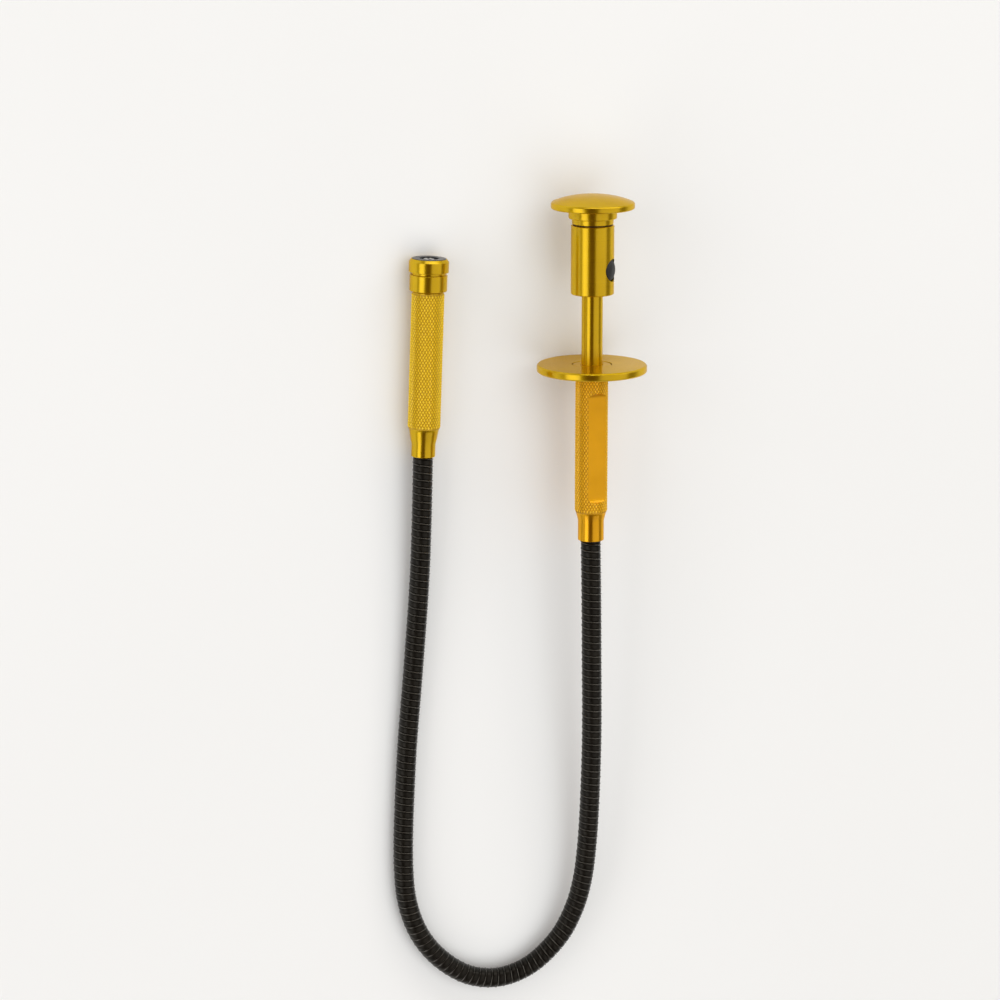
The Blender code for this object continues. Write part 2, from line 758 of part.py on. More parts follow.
def make_claw_carrier(coats, axis):
    """Slug that slides in the sleeve, its lamp stem and the lamp between the fingers."""
    profile = [
        (2.8, CARRIER_FRONT),
        (2.8, CARRIER_BACK),
        (1.4, CARRIER_BACK),
        (1.4, 40.8),
        (0.75, 40.8),
        (0.75, 47.0),
        (1.15, 47.0),
        (1.15, CARRIER_FRONT),
    ]
    turned("claw_carrier", profile, coats["steel"], axis, 24)
    turned("lamp_stem", ring_profile(0.65, 0.9, 47.3, 67.9), coats["steel"], axis, 16)
    lamp = [(0, 70.9), *arc((0, 69.9), 1.0, 75, 0, 3), (1.0, 68.2), (0, 68.2)]
    turned("lamp", lamp, coats["lens"], axis, 14)


def finger_outline():
    """Side view of a finger as (distance from the head's axis, height): strip and inward hook."""
    outer = FINGER_RING + FINGER_THICKNESS / 2
    inner = FINGER_RING - FINGER_THICKNESS / 2
    tip = FINGER_TIP
    return [
        (outer, FINGER_ROOT),
        (outer, tip - 0.4),
        (outer - 0.4, tip),
        (HOOK_REACH, tip),
        (HOOK_REACH, tip - HOOK_DEPTH),
        (inner - 0.15, tip - HOOK_DEPTH),
        (inner, tip - HOOK_DEPTH - 0.2),
        (inner, FINGER_ROOT),
    ]


def make_fingers(coats, axis):
    """Four spring fingers, each with its origin on its own hinge at the carrier."""
    outline = [(r - FINGER_RING, t - FINGER_ROOT) for r, t in finger_outline()]
    mesh = prism_mesh("claw_finger", outline, FINGER_WIDTH / 2)
    for i in range(FINGER_COUNT):
        turn = FULL_TURN * (i + 0.5) / FINGER_COUNT
        root = (FINGER_RING * math.cos(turn), FINGER_RING * math.sin(turn), FINGER_ROOT)
        finger = finish_object(f"claw_finger_{i + 1}", mesh.copy(), coats["steel"], axis, root)
        finger.rotation_euler = (0, 0, turn - math.pi / 2)


# --- assembly ---

def clear_scene():
    """Remove whatever the scene holds."""
    for old in list(bpy.data.objects):
        bpy.data.objects.remove(old, do_unlink=True)


def main():
    """Build the whole tool."""
    clear_scene()
    coats = make_materials()
    quarter = math.pi / 2
    handle = frame("handle_frame", (HANDLE_X, 0, HANDLE_Z), (-quarter, 0, 0))
    plunger = frame("plunger_frame", (HANDLE_X, 0, HANDLE_Z), (-quarter, 0, 0))
    button = frame("button_frame", (HANDLE_X, BUTTON_Y, HANDLE_Z), (0, BUTTON_AZIMUTH, 0))
    head = frame("head_frame", HEAD_BASE, (-quarter, 0, -HEAD_LEAN))
    make_grip(coats, handle)
    make_flange(coats, handle)
    make_bush(coats, handle)
    make_return_spring(coats, handle)
    make_rod(coats, plunger)
    make_barrel(coats, plunger, button)
    make_switch(coats, button)
    make_light_button(coats, button)
    make_cells(coats, plunger)
    make_knob(coats, plunger)
    make_head_grip(coats, head)
    make_collar(coats, head)
    make_cap(coats, head)
    make_claw_carrier(coats, head)
    make_fingers(coats, head)
    make_shaft(coats)
    make_cable(coats)


main()
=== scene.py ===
"""The looks of a flexible pickup tool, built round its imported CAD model.

The tool lies on the floor: the handle runs along +Y, the head lies beside it and points the same
way, and a black gooseneck shaft joins them in a U. Outlines and the sizes of turned pieces are in
millimetres and are turned into metres as a mesh is made. Places, directions, the shaft with the
lines inside it, and the studio are in metres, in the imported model's own axes.

A turned piece is drawn as a closed outline of (radius, height) points in its own frame, whose local
+Z runs along the piece's axis.
"""
import json
import math

import bmesh
import bpy
from mathutils import Matrix, Vector

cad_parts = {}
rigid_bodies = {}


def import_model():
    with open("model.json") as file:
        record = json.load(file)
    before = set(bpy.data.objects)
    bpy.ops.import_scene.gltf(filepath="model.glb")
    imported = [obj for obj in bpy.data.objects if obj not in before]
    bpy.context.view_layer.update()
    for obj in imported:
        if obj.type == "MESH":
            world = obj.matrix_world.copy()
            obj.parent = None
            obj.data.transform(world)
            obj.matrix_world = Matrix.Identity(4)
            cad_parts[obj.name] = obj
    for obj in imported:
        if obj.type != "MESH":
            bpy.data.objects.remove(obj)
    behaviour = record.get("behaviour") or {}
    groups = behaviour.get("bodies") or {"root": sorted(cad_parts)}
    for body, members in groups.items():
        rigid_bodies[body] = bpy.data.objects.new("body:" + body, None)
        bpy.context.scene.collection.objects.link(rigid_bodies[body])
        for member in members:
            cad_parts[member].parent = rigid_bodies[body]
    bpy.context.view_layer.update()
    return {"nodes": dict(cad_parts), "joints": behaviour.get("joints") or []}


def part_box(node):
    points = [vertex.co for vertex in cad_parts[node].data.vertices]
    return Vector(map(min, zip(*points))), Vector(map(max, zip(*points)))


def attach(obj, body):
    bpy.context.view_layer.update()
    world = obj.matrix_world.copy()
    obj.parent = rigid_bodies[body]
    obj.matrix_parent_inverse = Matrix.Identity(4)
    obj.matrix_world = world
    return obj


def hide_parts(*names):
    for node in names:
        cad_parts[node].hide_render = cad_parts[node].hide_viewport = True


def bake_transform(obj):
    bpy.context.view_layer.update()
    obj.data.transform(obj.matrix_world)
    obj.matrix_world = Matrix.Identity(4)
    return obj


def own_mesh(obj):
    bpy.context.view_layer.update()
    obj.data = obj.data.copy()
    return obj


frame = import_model()

MM = 0.001
FULL_TURN = 2 * math.pi
UP = Vector((0, 0, 1))
JOINTS = {joint["name"]: joint for joint in frame["joints"]}

# --- camera, in metres ---
CAMERA_PLACE = Vector((-0.3863, 0.3112, 1.1302))
CAMERA_TARGET = Vector((-0.0026, 0.0364, 0.0))
CAMERA_LENS = 120.4
CAMERA_SENSOR = 36.0

# --- turned pieces ---
ROUND_SIDES = 112
SMALL_SIDES = 64
FILLET = 0.12
FILLET_STEPS = 4
SUPPORT = 0.05
SHARP_ANGLE = math.radians(32)

# --- diamond knurl on both grips ---
KNURL_COUNT = 32
KNURL_PITCH = 1.9
KNURL_DEPTH = 0.34
KNURL_FLAT = 0.13
HEAD_KNURL_RADIUS = 5.92

# --- label flat milled on the handle ---
FLAT_HEIGHT = 4.55
FLAT_START = 38.4
FLAT_END = 79.0
FLAT_END_ARC = 2.5
FLAT_TURN = math.radians(6.3)

# --- gooseneck shaft, in metres ---
SHAFT_RADIUS = 0.00365
SHAFT_BORE = 0.0020
RIB_PITCH = 0.00267
RIB_SIDES = 28
BORE_SIDES = 16
BORE_STEP = 0.002
BEND_MARGIN = 0.0008
SOCKET_DEPTH = 0.0125
ROUTE_STEP = 0.001
FERRULE_MOUTH = 0.024
SAG_LENGTH = 0.224
CLIMB_LENGTH = 0.107
FLOOR_HEIGHT = SHAFT_RADIUS + 0.00015
CABLE_RADIUS = 0.0011
CABLE_BORE = 0.00075
CABLE_STEP = 0.0015
LEAD_RADIUS = 0.00045

# --- ends of the drive cable and the lamp lead, as heights in metres along the handle and the head ---
CABLE_IN_CRIMP = 0.083
LEAD_AT_SWITCH = 0.119
CABLE_IN_CARRIER = 0.0405
LEAD_AT_LAMP = 0.0678

# Centre of the shaft in plan, from the handle's ferrule round the bend to the head's ferrule.
SHAFT_PLAN = (
    (0.02555, 0.0240),
    (0.0266, -0.0150),
    (0.0282, -0.0600),
    (0.0281, -0.0950),
    (0.0268, -0.1106),
    (0.0242, -0.1212),
    (0.0185, -0.1326),
    (0.0074, -0.1430),
    (-0.0046, -0.1468),
    (-0.0163, -0.1448),
    (-0.0277, -0.1369),
    (-0.0354, -0.1268),
    (-0.0400, -0.1145),
    (-0.0416, -0.1000),
    (-0.0405, -0.0620),
    (-0.0376, -0.0240),
    (-0.0354, 0.0113),
)

# One pitch of the shaft's wound strip as (share of the pitch, radius in mm): a broad band, a
# groove, a narrow round bead and a groove.
RIB_PROFILE = (
    (0.000, 3.28),
    (0.035, 3.44),
    (0.080, 3.54),
    (0.250, 3.60),
    (0.470, 3.60),
    (0.640, 3.54),
    (0.685, 3.44),
    (0.720, 3.28),
    (0.755, 3.56),
    (0.800, 3.71),
    (0.860, 3.77),
    (0.920, 3.71),
    (0.965, 3.56),
)
BEAD_START = 0.745


# --- places ---

def frame_at(origin, x_axis, y_axis, z_axis):
    """The frame at a place with these local axes."""
    made = Matrix((x_axis, y_axis, z_axis)).transposed().to_4x4()
    made.translation = origin
    return made


def along(origin, axis):
    """A frame at a place, its local +Z along axis and its local Y as near straight down as it goes."""
    z_axis = Vector(axis).normalized()
    x_axis = (-UP).cross(z_axis).normalized()
    return frame_at(origin, x_axis, z_axis.cross(x_axis), z_axis)


def box_centre(node):
    """Middle of a CAD node's box."""
    low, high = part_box(node)
    return (Vector(low) + Vector(high)) / 2


def handle_place():
    """Frame on the handle's axis, its heights equal to world Y."""
    centre = box_centre("plunger_rod")
    return along(Vector((centre.x, 0, centre.z)), (0, 1, 0))


def head_place():
    """Frame on the head's axis, its height 0 at the open end of the ferrule."""
    axis = Vector(JOINTS["claw_slide"]["axis"]).normalized()
    ring = box_centre("magnet_ring")
    grip = frame["nodes"]["head_grip"]
    foot = min((vertex.co - ring).dot(axis) for vertex in grip.data.vertices)
    return along(ring + axis * foot, axis)


def button_place():
    """Frame on the handle's axis at the light button, pointing out through the button."""
    axis = -Vector(JOINTS["light_button_press"]["axis"]).normalized()
    middle = box_centre("light_button")
    centre = HANDLE.translation
    return along(Vector((centre.x, middle.y, centre.z)), axis)


HANDLE = handle_place()
HEAD = head_place()
BUTTON = button_place()


class Extent:
    """Height range, outer radius and bore of a CAD node in a frame, in millimetres."""

    def __init__(self, node, place):
        into = place.inverted()
        points = [into @ vertex.co / MM for vertex in frame["nodes"][node].data.vertices]
        self.low = min(point.z for point in points)
        self.high = max(point.z for point in points)
        reaches = [math.hypot(point.x, point.y) for point in points]
        self.radius = max(reaches)
        self.bore = min(reaches)


# --- meshes ---

def corner_arc(before, here, after, size):
    """Points that round one corner of an outline, with a support point on each side of the arc."""
    back = before - here
    ahead = after - here
    turn = math.pi - back.angle(ahead)
    if turn < math.radians(20):
        return [here]
    room = 0.45 * min(back.length, ahead.length)
    setback = min(size, room)
    support = min(setback + SUPPORT, room * 1.05)
    back.normalize()
    ahead.normalize()
    start = here + back * setback
    end = here + ahead * setback
    points = [here + back * support]
    for i in range(FILLET_STEPS + 1):
        share = i / FILLET_STEPS
        points.append(start * (1 - share) ** 2 + here * (2 * share * (1 - share)) + end * share ** 2)
    points.append(here + ahead * support)
    return points


def filleted(outline, size):
    """Round the corners of a closed outline; points on the axis stay as they are."""
    points = []
    for i, corner in enumerate(outline):
        here = Vector(corner)
        before = Vector(outline[i - 1])
        after = Vector(outline[(i + 1) % len(outline)])
        if here.x == 0:
            points.append(here)
        else:
            points += corner_arc(before, here, after, size)
    return [(point.x, point.y) for point in points]


def arc(centre, radius, start, end, steps):
    """Points on an arc, angles in degrees, both ends included."""
    points = []
    for i in range(steps + 1):
        angle = math.radians(start + (end - start) * i / steps)
        points.append((centre[0] + radius * math.cos(angle), centre[1] + radius * math.sin(angle)))
    return points


def outward(mesh):
    """Turn a closed mesh's faces outward."""
    bm = bmesh.new()
    bm.from_mesh(mesh)
    bmesh.ops.recalc_face_normals(bm, faces=bm.faces)
    bm.to_mesh(mesh)
    bm.free()


def mesh_of(name, verts, faces, scale=MM):
    """A closed mesh in metres, faces outward."""
    mesh = bpy.data.meshes.new(name)
    mesh.from_pydata([tuple(c * scale for c in vert) for vert in verts], [], faces)
    outward(mesh)
    return mesh


def joined(one, other):
    """The faces between two rings of as many points."""
    faces = []
    for i in range(len(one)):
        j = (i + 1) % len(one)
        faces.append((one[i], one[j], other[j], other[i]))
    return faces


def ring_points(radius, height, sides):
    """One ring of a turned piece."""
    points = []
    for i in range(sides):
        angle = FULL_TURN * i / sides
        points.append((radius * math.cos(angle), radius * math.sin(angle), height))
    return points


def turned_mesh(name, outline, sides):
    """Turn a closed outline round local Z; points on the axis become single vertices."""
    verts = []
    rings = []
    for radius, height in outline:
        if radius == 0:
            rings.append([len(verts)] * sides)
            verts.append((0.0, 0.0, height))
        else:
            rings.append(list(range(len(verts), len(verts) + sides)))
            verts += ring_points(radius, height, sides)
    faces = []
    for one, other in zip(rings, rings[1:] + rings[:1]):
        for face in joined(one, other):
            corners = dict.fromkeys(face)
            if len(corners) > 2:
                faces.append(tuple(corners))
    return mesh_of(name, verts, faces)


def prism_mesh(name, half, outline):
    """A slab from -half to half along local X, its closed outline given as (y, z) points."""
    count = len(outline)
    verts = [(x, y, z) for x in (-half, half) for y, z in outline]
    faces = [tuple(range(count)), tuple(range(2 * count - 1, count - 1, -1))]
    for i in range(count):
        j = (i + 1) % count
        faces.append((i, i + count, j + count, j))
    return mesh_of(name, verts, faces)


def in_scene(name, data, place=Matrix.Identity(4)):
    """A new object in the scene, in its frame."""
    made = bpy.data.objects.new(name, data)
    bpy.context.scene.collection.objects.link(made)
    made.matrix_world = place
    return made


def smooth(mesh):
    """Shade a mesh smooth except at real edges."""
    mesh.shade_smooth()
    mesh.set_sharp_from_angle(angle=SHARP_ANGLE)


def place_piece(name, mesh, place, coat):
    """Put a mesh in the scene in its frame, with its material."""
    mesh.materials.append(coat)
    smooth(mesh)
    return in_scene(name, mesh, place)


def stand_for(piece, body, slot, *nodes):
    """Ride a piece on its body in place of its CAD nodes; its slot is not used."""
    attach(piece, body)
    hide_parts(*nodes)
    return piece


def turned(name, outline, place, coat, sides, size):
    """A turned piece with its edges rounded to a size."""
    return place_piece(name, turned_mesh(name, filleted(outline, size), sides), place, coat)


def turned_part(node, body, outline, place, coat="turned_gold", sides=ROUND_SIDES, size=FILLET):
    """A turned piece that rides on its body in place of the CAD node of the same name."""
    piece = turned(node.title(), outline, place, COATS[coat], sides, size)
    return stand_for(piece, body, SLOTS[coat], node)


def cut_away(piece, cutter):
    """Cut a helper shape out of a piece for good."""
    boolean = piece.modifiers.new("cut", "BOOLEAN")
    boolean.operation = "DIFFERENCE"
    boolean.solver = "EXACT"
    boolean.object = cutter
    bpy.context.view_layer.update()
    graph = bpy.context.evaluated_depsgraph_get()
    mesh = bpy.data.meshes.new_from_object(piece.evaluated_get(graph))
    piece.modifiers.clear()
    piece.data = mesh
    bpy.data.objects.remove(cutter, do_unlink=True)


# --- materials ---

class Nodes:
    """Short calls that add and join nodes in one material."""

    def __init__(self, name):
        self.made = bpy.data.materials.new(name)
        self.made.use_nodes = True
        self.tree = self.made.node_tree
        self.shader = self.tree.nodes["Principled BSDF"]

    def add(self, kind, sockets=None, **values):
        """A node, with its properties and its own sockets set."""
        node = self.tree.nodes.new(kind)
        for key, value in values.items():
            setattr(node, key, value)
        for key, value in (sockets or {}).items():
            node.inputs[key].default_value = value
        return node

    def link(self, source, target):
        """Join two sockets."""
        self.tree.links.new(source, target)

    def set(self, **values):
        """Set the shader's own sockets."""
        for key, value in values.items():
            self.shader.inputs[key.replace("_", " ")].default_value = value

    def drive(self, socket, source):
        """Feed one of the shader's sockets."""
        self.link(source, self.shader.inputs[socket])

    def math(self, operation, first, second=None):
        """A Math node fed by sockets or numbers."""
        node = self.add("ShaderNodeMath", operation=operation)
        for socket, value in zip(node.inputs, (first, second)):
            if value is None:
                continue
            if isinstance(value, (int, float)):
                socket.default_value = value
            else:
                self.link(value, socket)
        return node.outputs[0]

    def place(self):
        """The piece's own coordinates."""
        return self.add("ShaderNodeTexCoord").outputs["Object"]

    def brushed(self, amount):
        """Stretch the gloss across the lathe's rings."""
        tangent = self.add("ShaderNodeTangent", direction_type="RADIAL", axis="Z")
        self.drive("Tangent", tangent.outputs["Tangent"])
        self.set(Anisotropic=amount, Anisotropic_Rotation=0.25)

    def noise(self, scale, detail, roughness=0.5):
        """3-D noise over the piece."""
        sockets = {"Scale": scale, "Detail": detail, "Roughness": roughness}
        node = self.add("ShaderNodeTexNoise", sockets)
        self.link(self.place(), node.inputs["Vector"])
        return node.outputs["Fac"]

    def ramp(self, factor, stops):
        """A colour ramp through (position, value or colour) stops."""
        node = self.add("ShaderNodeValToRGB")
        while len(node.color_ramp.elements) < len(stops):
            node.color_ramp.elements.new(0.5)
        for element, (position, value) in zip(node.color_ramp.elements, stops):
            element.position = position
            colour = value if isinstance(value, tuple) else (value, value, value)
            element.color = (*colour, 1.0)
        self.link(factor, node.inputs["Fac"])
        return node.outputs["Color"]

    def off_axis(self, parts):
        """Distance from the piece's own Z axis, from its separated coordinates."""
        squares = self.math("ADD", self.math("MULTIPLY", parts.outputs[0], parts.outputs[0]),
                            self.math("MULTIPLY", parts.outputs[1], parts.outputs[1]))
        return self.math("SQRT", squares)

    def separated(self):
        """The piece's own coordinates, one by one."""
        parts = self.add("ShaderNodeSeparateXYZ")
        self.link(self.place(), parts.inputs[0])
        return parts

    def turned_lines(self, scale):
        """Noise that is the same all round the axis, so that it draws a lathe's rings."""
        parts = self.separated()
        reach = self.math("ADD", self.off_axis(parts), parts.outputs[2])
        sockets = {"Scale": scale, "Detail": 4.0, "Roughness": 0.7}
        node = self.add("ShaderNodeTexNoise", sockets, noise_dimensions="1D")
        self.link(reach, node.inputs["W"])
        return node.outputs["Fac"]

    def bump(self, height, distance, under=None):
        """Raise the surface by a height field, over the bump under it."""
        node = self.add("ShaderNodeBump", {"Strength": 1.0, "Distance": distance})
        self.link(height, node.inputs["Height"])
        if under:
            self.link(under, node.inputs["Normal"])
        return node.outputs["Normal"]


# Colours of the gold dye, the knurl's painted groove shade and painted crest highlight, and what they
# are multiplied by on the handle grip, which is more orange.
GOLD_LOW = (0.62, 0.395, 0.004)
GOLD_HIGH = (0.70, 0.455, 0.008)
GOLD_EDGE = (0.94, 0.76, 0.38, 1.0)
KNURL_PAINTED_SHADE = (0.54, 0.32, 0.012)
KNURL_PAINTED_HIGHLIGHT = (1.0, 0.70, 0.030)
GRIP_DYE = (1.25, 0.97, 0.85)
GRIP_KNURL_DYE = (0.97, 0.79, 0.64)


def dyed(colour, dye):
    """A colour multiplied by a dye, no channel over 1."""
    return tuple(min(1.0, one * other) for one, other in zip(colour, dye))


def gold(name, low, high, line_depth, grain_depth, dye=(1.0, 1.0, 1.0)):
    """Anodised aluminium: lathe rings, a faint blasted grain and slight changes in the dye."""
    nodes = Nodes(name)
    nodes.set(Metallic=1.0, Specular_Tint=GOLD_EDGE, Coat_Weight=0.3, Coat_Roughness=0.1)
    nodes.brushed(0.6)
    patches = nodes.noise(90.0, 3.0)
    colour = nodes.ramp(patches, ((0.3, dyed(GOLD_LOW, dye)), (0.7, dyed(GOLD_HIGH, dye))))
    nodes.drive("Base Color", colour)
    lines = nodes.turned_lines(5200.0)
    grain = nodes.noise(5200.0, 2.0)
    rough = nodes.ramp(lines, ((0.3, low), (0.7, high)))
    nodes.drive("Roughness", rough)
    ringed = nodes.bump(lines, line_depth)
    nodes.drive("Normal", nodes.bump(grain, grain_depth, under=ringed))
    return nodes.made


def knurled_gold(name, dye=(1.0, 1.0, 1.0)):
    """Gold left matt by the knurling, with painted shade darkening it towards the bottom of the
    grooves and a painted highlight lightening the crests.
    """
    nodes = Nodes(name)
    nodes.set(Metallic=0.45, Specular_Tint=GOLD_EDGE, Coat_Weight=0.3, Coat_Roughness=0.12)
    crest = HEAD_KNURL_RADIUS * MM
    valley = crest - KNURL_DEPTH * MM
    reach = nodes.off_axis(nodes.separated())
    share = nodes.math("DIVIDE", nodes.math("SUBTRACT", reach, valley), crest - valley)
    shade_jitter = nodes.noise(1200.0, 3.0)
    painted_light_share = nodes.math("ADD", share, nodes.math("MULTIPLY", nodes.math("SUBTRACT", shade_jitter, 0.5), 0.5))
    # Painted light: the base colour runs from painted shade at the bottom of the grooves to a painted
    # highlight on the crests, its edge broken up by noise.
    colour = nodes.ramp(painted_light_share, ((0.05, dyed(KNURL_PAINTED_SHADE, dye)), (0.75, dyed(KNURL_PAINTED_HIGHLIGHT, dye))))
    nodes.drive("Base Color", colour)
    nodes.drive("Roughness", nodes.ramp(painted_light_share, ((0.1, 0.50), (0.6, 0.30))))
    grain = nodes.noise(5200.0, 2.0)
    nodes.drive("Normal", nodes.bump(grain, 0.000002))
    return nodes.made


def bright_metal(name, dark, light, low, high):
    """Bare or plated metal with fine scratches and slightly uneven brightness."""
    nodes = Nodes(name)
    nodes.set(Metallic=1.0)
    patches = nodes.noise(400.0, 3.0)
    nodes.drive("Base Color", nodes.ramp(patches, ((0.3, dark), (0.7, light))))
    lines = nodes.turned_lines(7000.0)
    nodes.drive("Roughness", nodes.ramp(lines, ((0.25, low), (0.75, high))))
    nodes.drive("Normal", nodes.bump(lines, 0.000004))
    return nodes.made


def black_coat(name, level, low, high):
    """Black coat over steel strip, slightly brown in places."""
    nodes = Nodes(name)
    nodes.set(Metallic=0.0, Specular_IOR_Level=level, Specular_Tint=(1.0, 0.94, 0.84, 1.0))
    wear = nodes.noise(260.0, 4.0, roughness=0.65)
    colour = nodes.ramp(wear, ((0.35, (0.0022, 0.0020, 0.0016)), (0.75, (0.0085, 0.0072, 0.0052))))
    nodes.drive("Base Color", colour)
    smear = nodes.noise(900.0, 3.0)
    nodes.drive("Roughness", nodes.ramp(smear, ((0.3, low), (0.7, high))))
    fine = nodes.noise(4000.0, 2.0)
    nodes.drive("Normal", nodes.bump(fine, 0.000004))
    return nodes.made


def soft_plastic(name, dark, light, low, high, grain_scale, grain_depth):
    """Rubber or plastic with a fine moulded grain."""
    nodes = Nodes(name)
    patches = nodes.noise(350.0, 3.0)
    nodes.drive("Base Color", nodes.ramp(patches, ((0.3, dark), (0.7, light))))
    grain = nodes.noise(grain_scale, 2.0)
    nodes.drive("Roughness", nodes.ramp(grain, ((0.3, low), (0.7, high))))
    nodes.drive("Normal", nodes.bump(grain, grain_depth))
    return nodes.made


def clear_lens():
    """Clear epoxy of the lamp."""
    nodes = Nodes("lamp_lens")
    nodes.set(Transmission_Weight=0.85, IOR=1.5, Coat_Weight=0.3)
    cloud = nodes.noise(1500.0, 2.0)
    colour = nodes.ramp(cloud, ((0.3, (0.85, 0.88, 0.93)), (0.7, (0.95, 0.97, 1.0))))
    nodes.drive("Base Color", colour)
    nodes.drive("Roughness", nodes.ramp(cloud, ((0.3, 0.03), (0.7, 0.08))))
    return nodes.made


COATS = {
    "turned_gold": gold("turned_gold", 0.27, 0.35, 0.0000014, 0.0000010),
    "grip_gold": gold("grip_gold", 0.27, 0.35, 0.0000014, 0.0000010, GRIP_DYE),
    "flat_gold": gold("flat_gold", 0.36, 0.44, 0.0000010, 0.0000050, GRIP_DYE),
    "knurled_gold": knurled_gold("knurled_gold"),
    "grip_knurl": knurled_gold("grip_knurl", GRIP_KNURL_DYE),
    "steel": bright_metal("bright_steel", (0.50, 0.50, 0.49), (0.64, 0.64, 0.62), 0.20, 0.34),
    "brass": bright_metal("bronze_bush", (0.50, 0.33, 0.12), (0.64, 0.45, 0.20), 0.26, 0.40),
    "shaft": black_coat("black_shaft", 0.22, 0.26, 0.40),
    "bead": black_coat("black_shaft_bead", 0.80, 0.14, 0.26),
    "rubber": soft_plastic("black_rubber", (0.006, 0.006, 0.006), (0.014, 0.014, 0.014),
                           0.50, 0.66, 3500.0, 0.000010),
    # The magnet ring's near-black colour is a painted dark reflection, standing in for the dark
    # surroundings that its open face mirrors.
    "magnet": soft_plastic("dark_magnet", (0.018, 0.018, 0.019), (0.040, 0.040, 0.042),
                           0.24, 0.40, 3000.0, 0.000004),
    "liner": soft_plastic("white_liner", (0.68, 0.67, 0.63), (0.78, 0.77, 0.74),
                          0.38, 0.50, 2500.0, 0.000004),
    "board": soft_plastic("green_board", (0.02, 0.16, 0.05), (0.04, 0.24, 0.08),
                          0.32, 0.45, 1800.0, 0.000008),
    "lead": soft_plastic("red_lead", (0.42, 0.03, 0.02), (0.56, 0.05, 0.03),
                         0.38, 0.50, 2500.0, 0.000004),
    "lens": clear_lens(),
}

# Material slots of the coats that turned parts wear.
SLOTS = {
    "turned_gold": "anodised_gold",
    "steel": "bright_steel",
    "rubber": "black_rubber",
    "magnet": "dark_magnet",
}

# CAD nodes whose plain shape is right and which lie inside the tool.
KEPT_NODES = {
    "spring_seat_washer": "steel",
    "rod_stop_clip": "steel",
    "push_switch": "steel",
    "battery_spring": "steel",
    "button_cell_1": "steel",
    "button_cell_2": "steel",
    "button_cell_3": "steel",
    "cable_crimp": "brass",
    "battery_contact": "brass",
    "claw_guide_sleeve": "liner",
    "switch_board": "board",
}


def finish_kept_nodes():
    """Give each kept CAD node its detailed material."""
    for node, coat in KEPT_NODES.items():
        mesh = frame["nodes"][node].data
        mesh.materials.clear()
        mesh.materials.append(COATS[coat])


# --- handle ---

def knurl_rows(low, high):
    """How many half-diamond rows fit between two heights, and how high each is."""
    rows = 2 * max(1, round((high - low) / KNURL_PITCH))
    return rows, (high - low) / rows


def knurled_band(verts, faces, radius, low, high):
    """Add a diamond-knurled band; return its end rings, bottom first.

    Groove crossings sit where column plus row is even. Each diamond between four crossings
    carries a pyramid cut off flat at the outer radius.
    """
    columns = 2 * KNURL_COUNT
    rows, step = knurl_rows(low, high)
    valley = radius - KNURL_DEPTH

    def point(column, row, reach):
        angle = FULL_TURN * column / columns
        return (reach * math.cos(angle), reach * math.sin(angle), low + step * row)

    crossing = {}
    for row in range(rows + 1):
        for column in range(columns):
            if (row + column) % 2 == 0 or row in (0, rows):
                crossing[column, row] = len(verts)
                verts.append(point(column, row, valley))
    for row in range(rows + 1):
        for column in range(columns):
            if (row + column) % 2 == 0:
                continue
            west = crossing[(column - 1) % columns, row]
            east = crossing[(column + 1) % columns, row]
            if row in (0, rows):
                inner = crossing[column, 1 if row == 0 else rows - 1]
                middle = crossing[column, row]
                faces.append((west, middle, inner))
                faces.append((middle, east, inner))
                continue
            south = crossing[column, row - 1]
            north = crossing[column, row + 1]
            corners = ((-1, 0, west), (0, -1, south), (1, 0, east), (0, 1, north))
            top = []
            for across, up, _ in corners:
                top.append(len(verts))
                verts.append(point(column + across * KNURL_FLAT, row + up * KNURL_FLAT, radius))
            faces.append(tuple(top))
            for i, (_, _, corner) in enumerate(corners):
                j = (i + 1) % 4
                faces.append((corner, corners[j][2], top[j], top[i]))
    bottom = [crossing[column, 0] for column in range(columns)]
    upper = [crossing[column, rows] for column in range(columns)]
    return bottom, upper


def knurled_piece(name, radius, low, high, outline, place, knurl, plain):
    """A turned piece with one knurled band, and another material on all the rest of it.

    The outline starts above the band and goes round through the bore to end above it again: its
    first point follows the band's bottom and its last point comes before the band's top.
    """
    verts = []
    faces = []
    bottom, upper = knurled_band(verts, faces, radius, low, high)
    knurl_faces = len(faces)
    sides = len(bottom)
    rings = [bottom]
    for ring_radius, height in outline:
        rings.append(list(range(len(verts), len(verts) + sides)))
        verts += ring_points(ring_radius, height, sides)
    rings.append(upper)
    for one, other in zip(rings, rings[1:]):
        faces += joined(one, other)
    mesh = mesh_of(name, verts, faces)
    made = place_piece(name, mesh, place, COATS[knurl])
    mesh.materials.append(COATS[plain])
    for polygon in mesh.polygons:
        if polygon.index < knurl_faces:
            polygon.use_smooth = False
        else:
            polygon.material_index = 1
    return made


def open_fillets(outline, size):
    """Round the inner corners of an outline that isn't closed; its end points stay."""
    points = [Vector(outline[0])]
    for before, here, after in zip(outline, outline[1:], outline[2:]):
        points += corner_arc(Vector(before), Vector(here), Vector(after), size)
    points.append(Vector(outline[-1]))
    return [(point.x, point.y) for point in points]


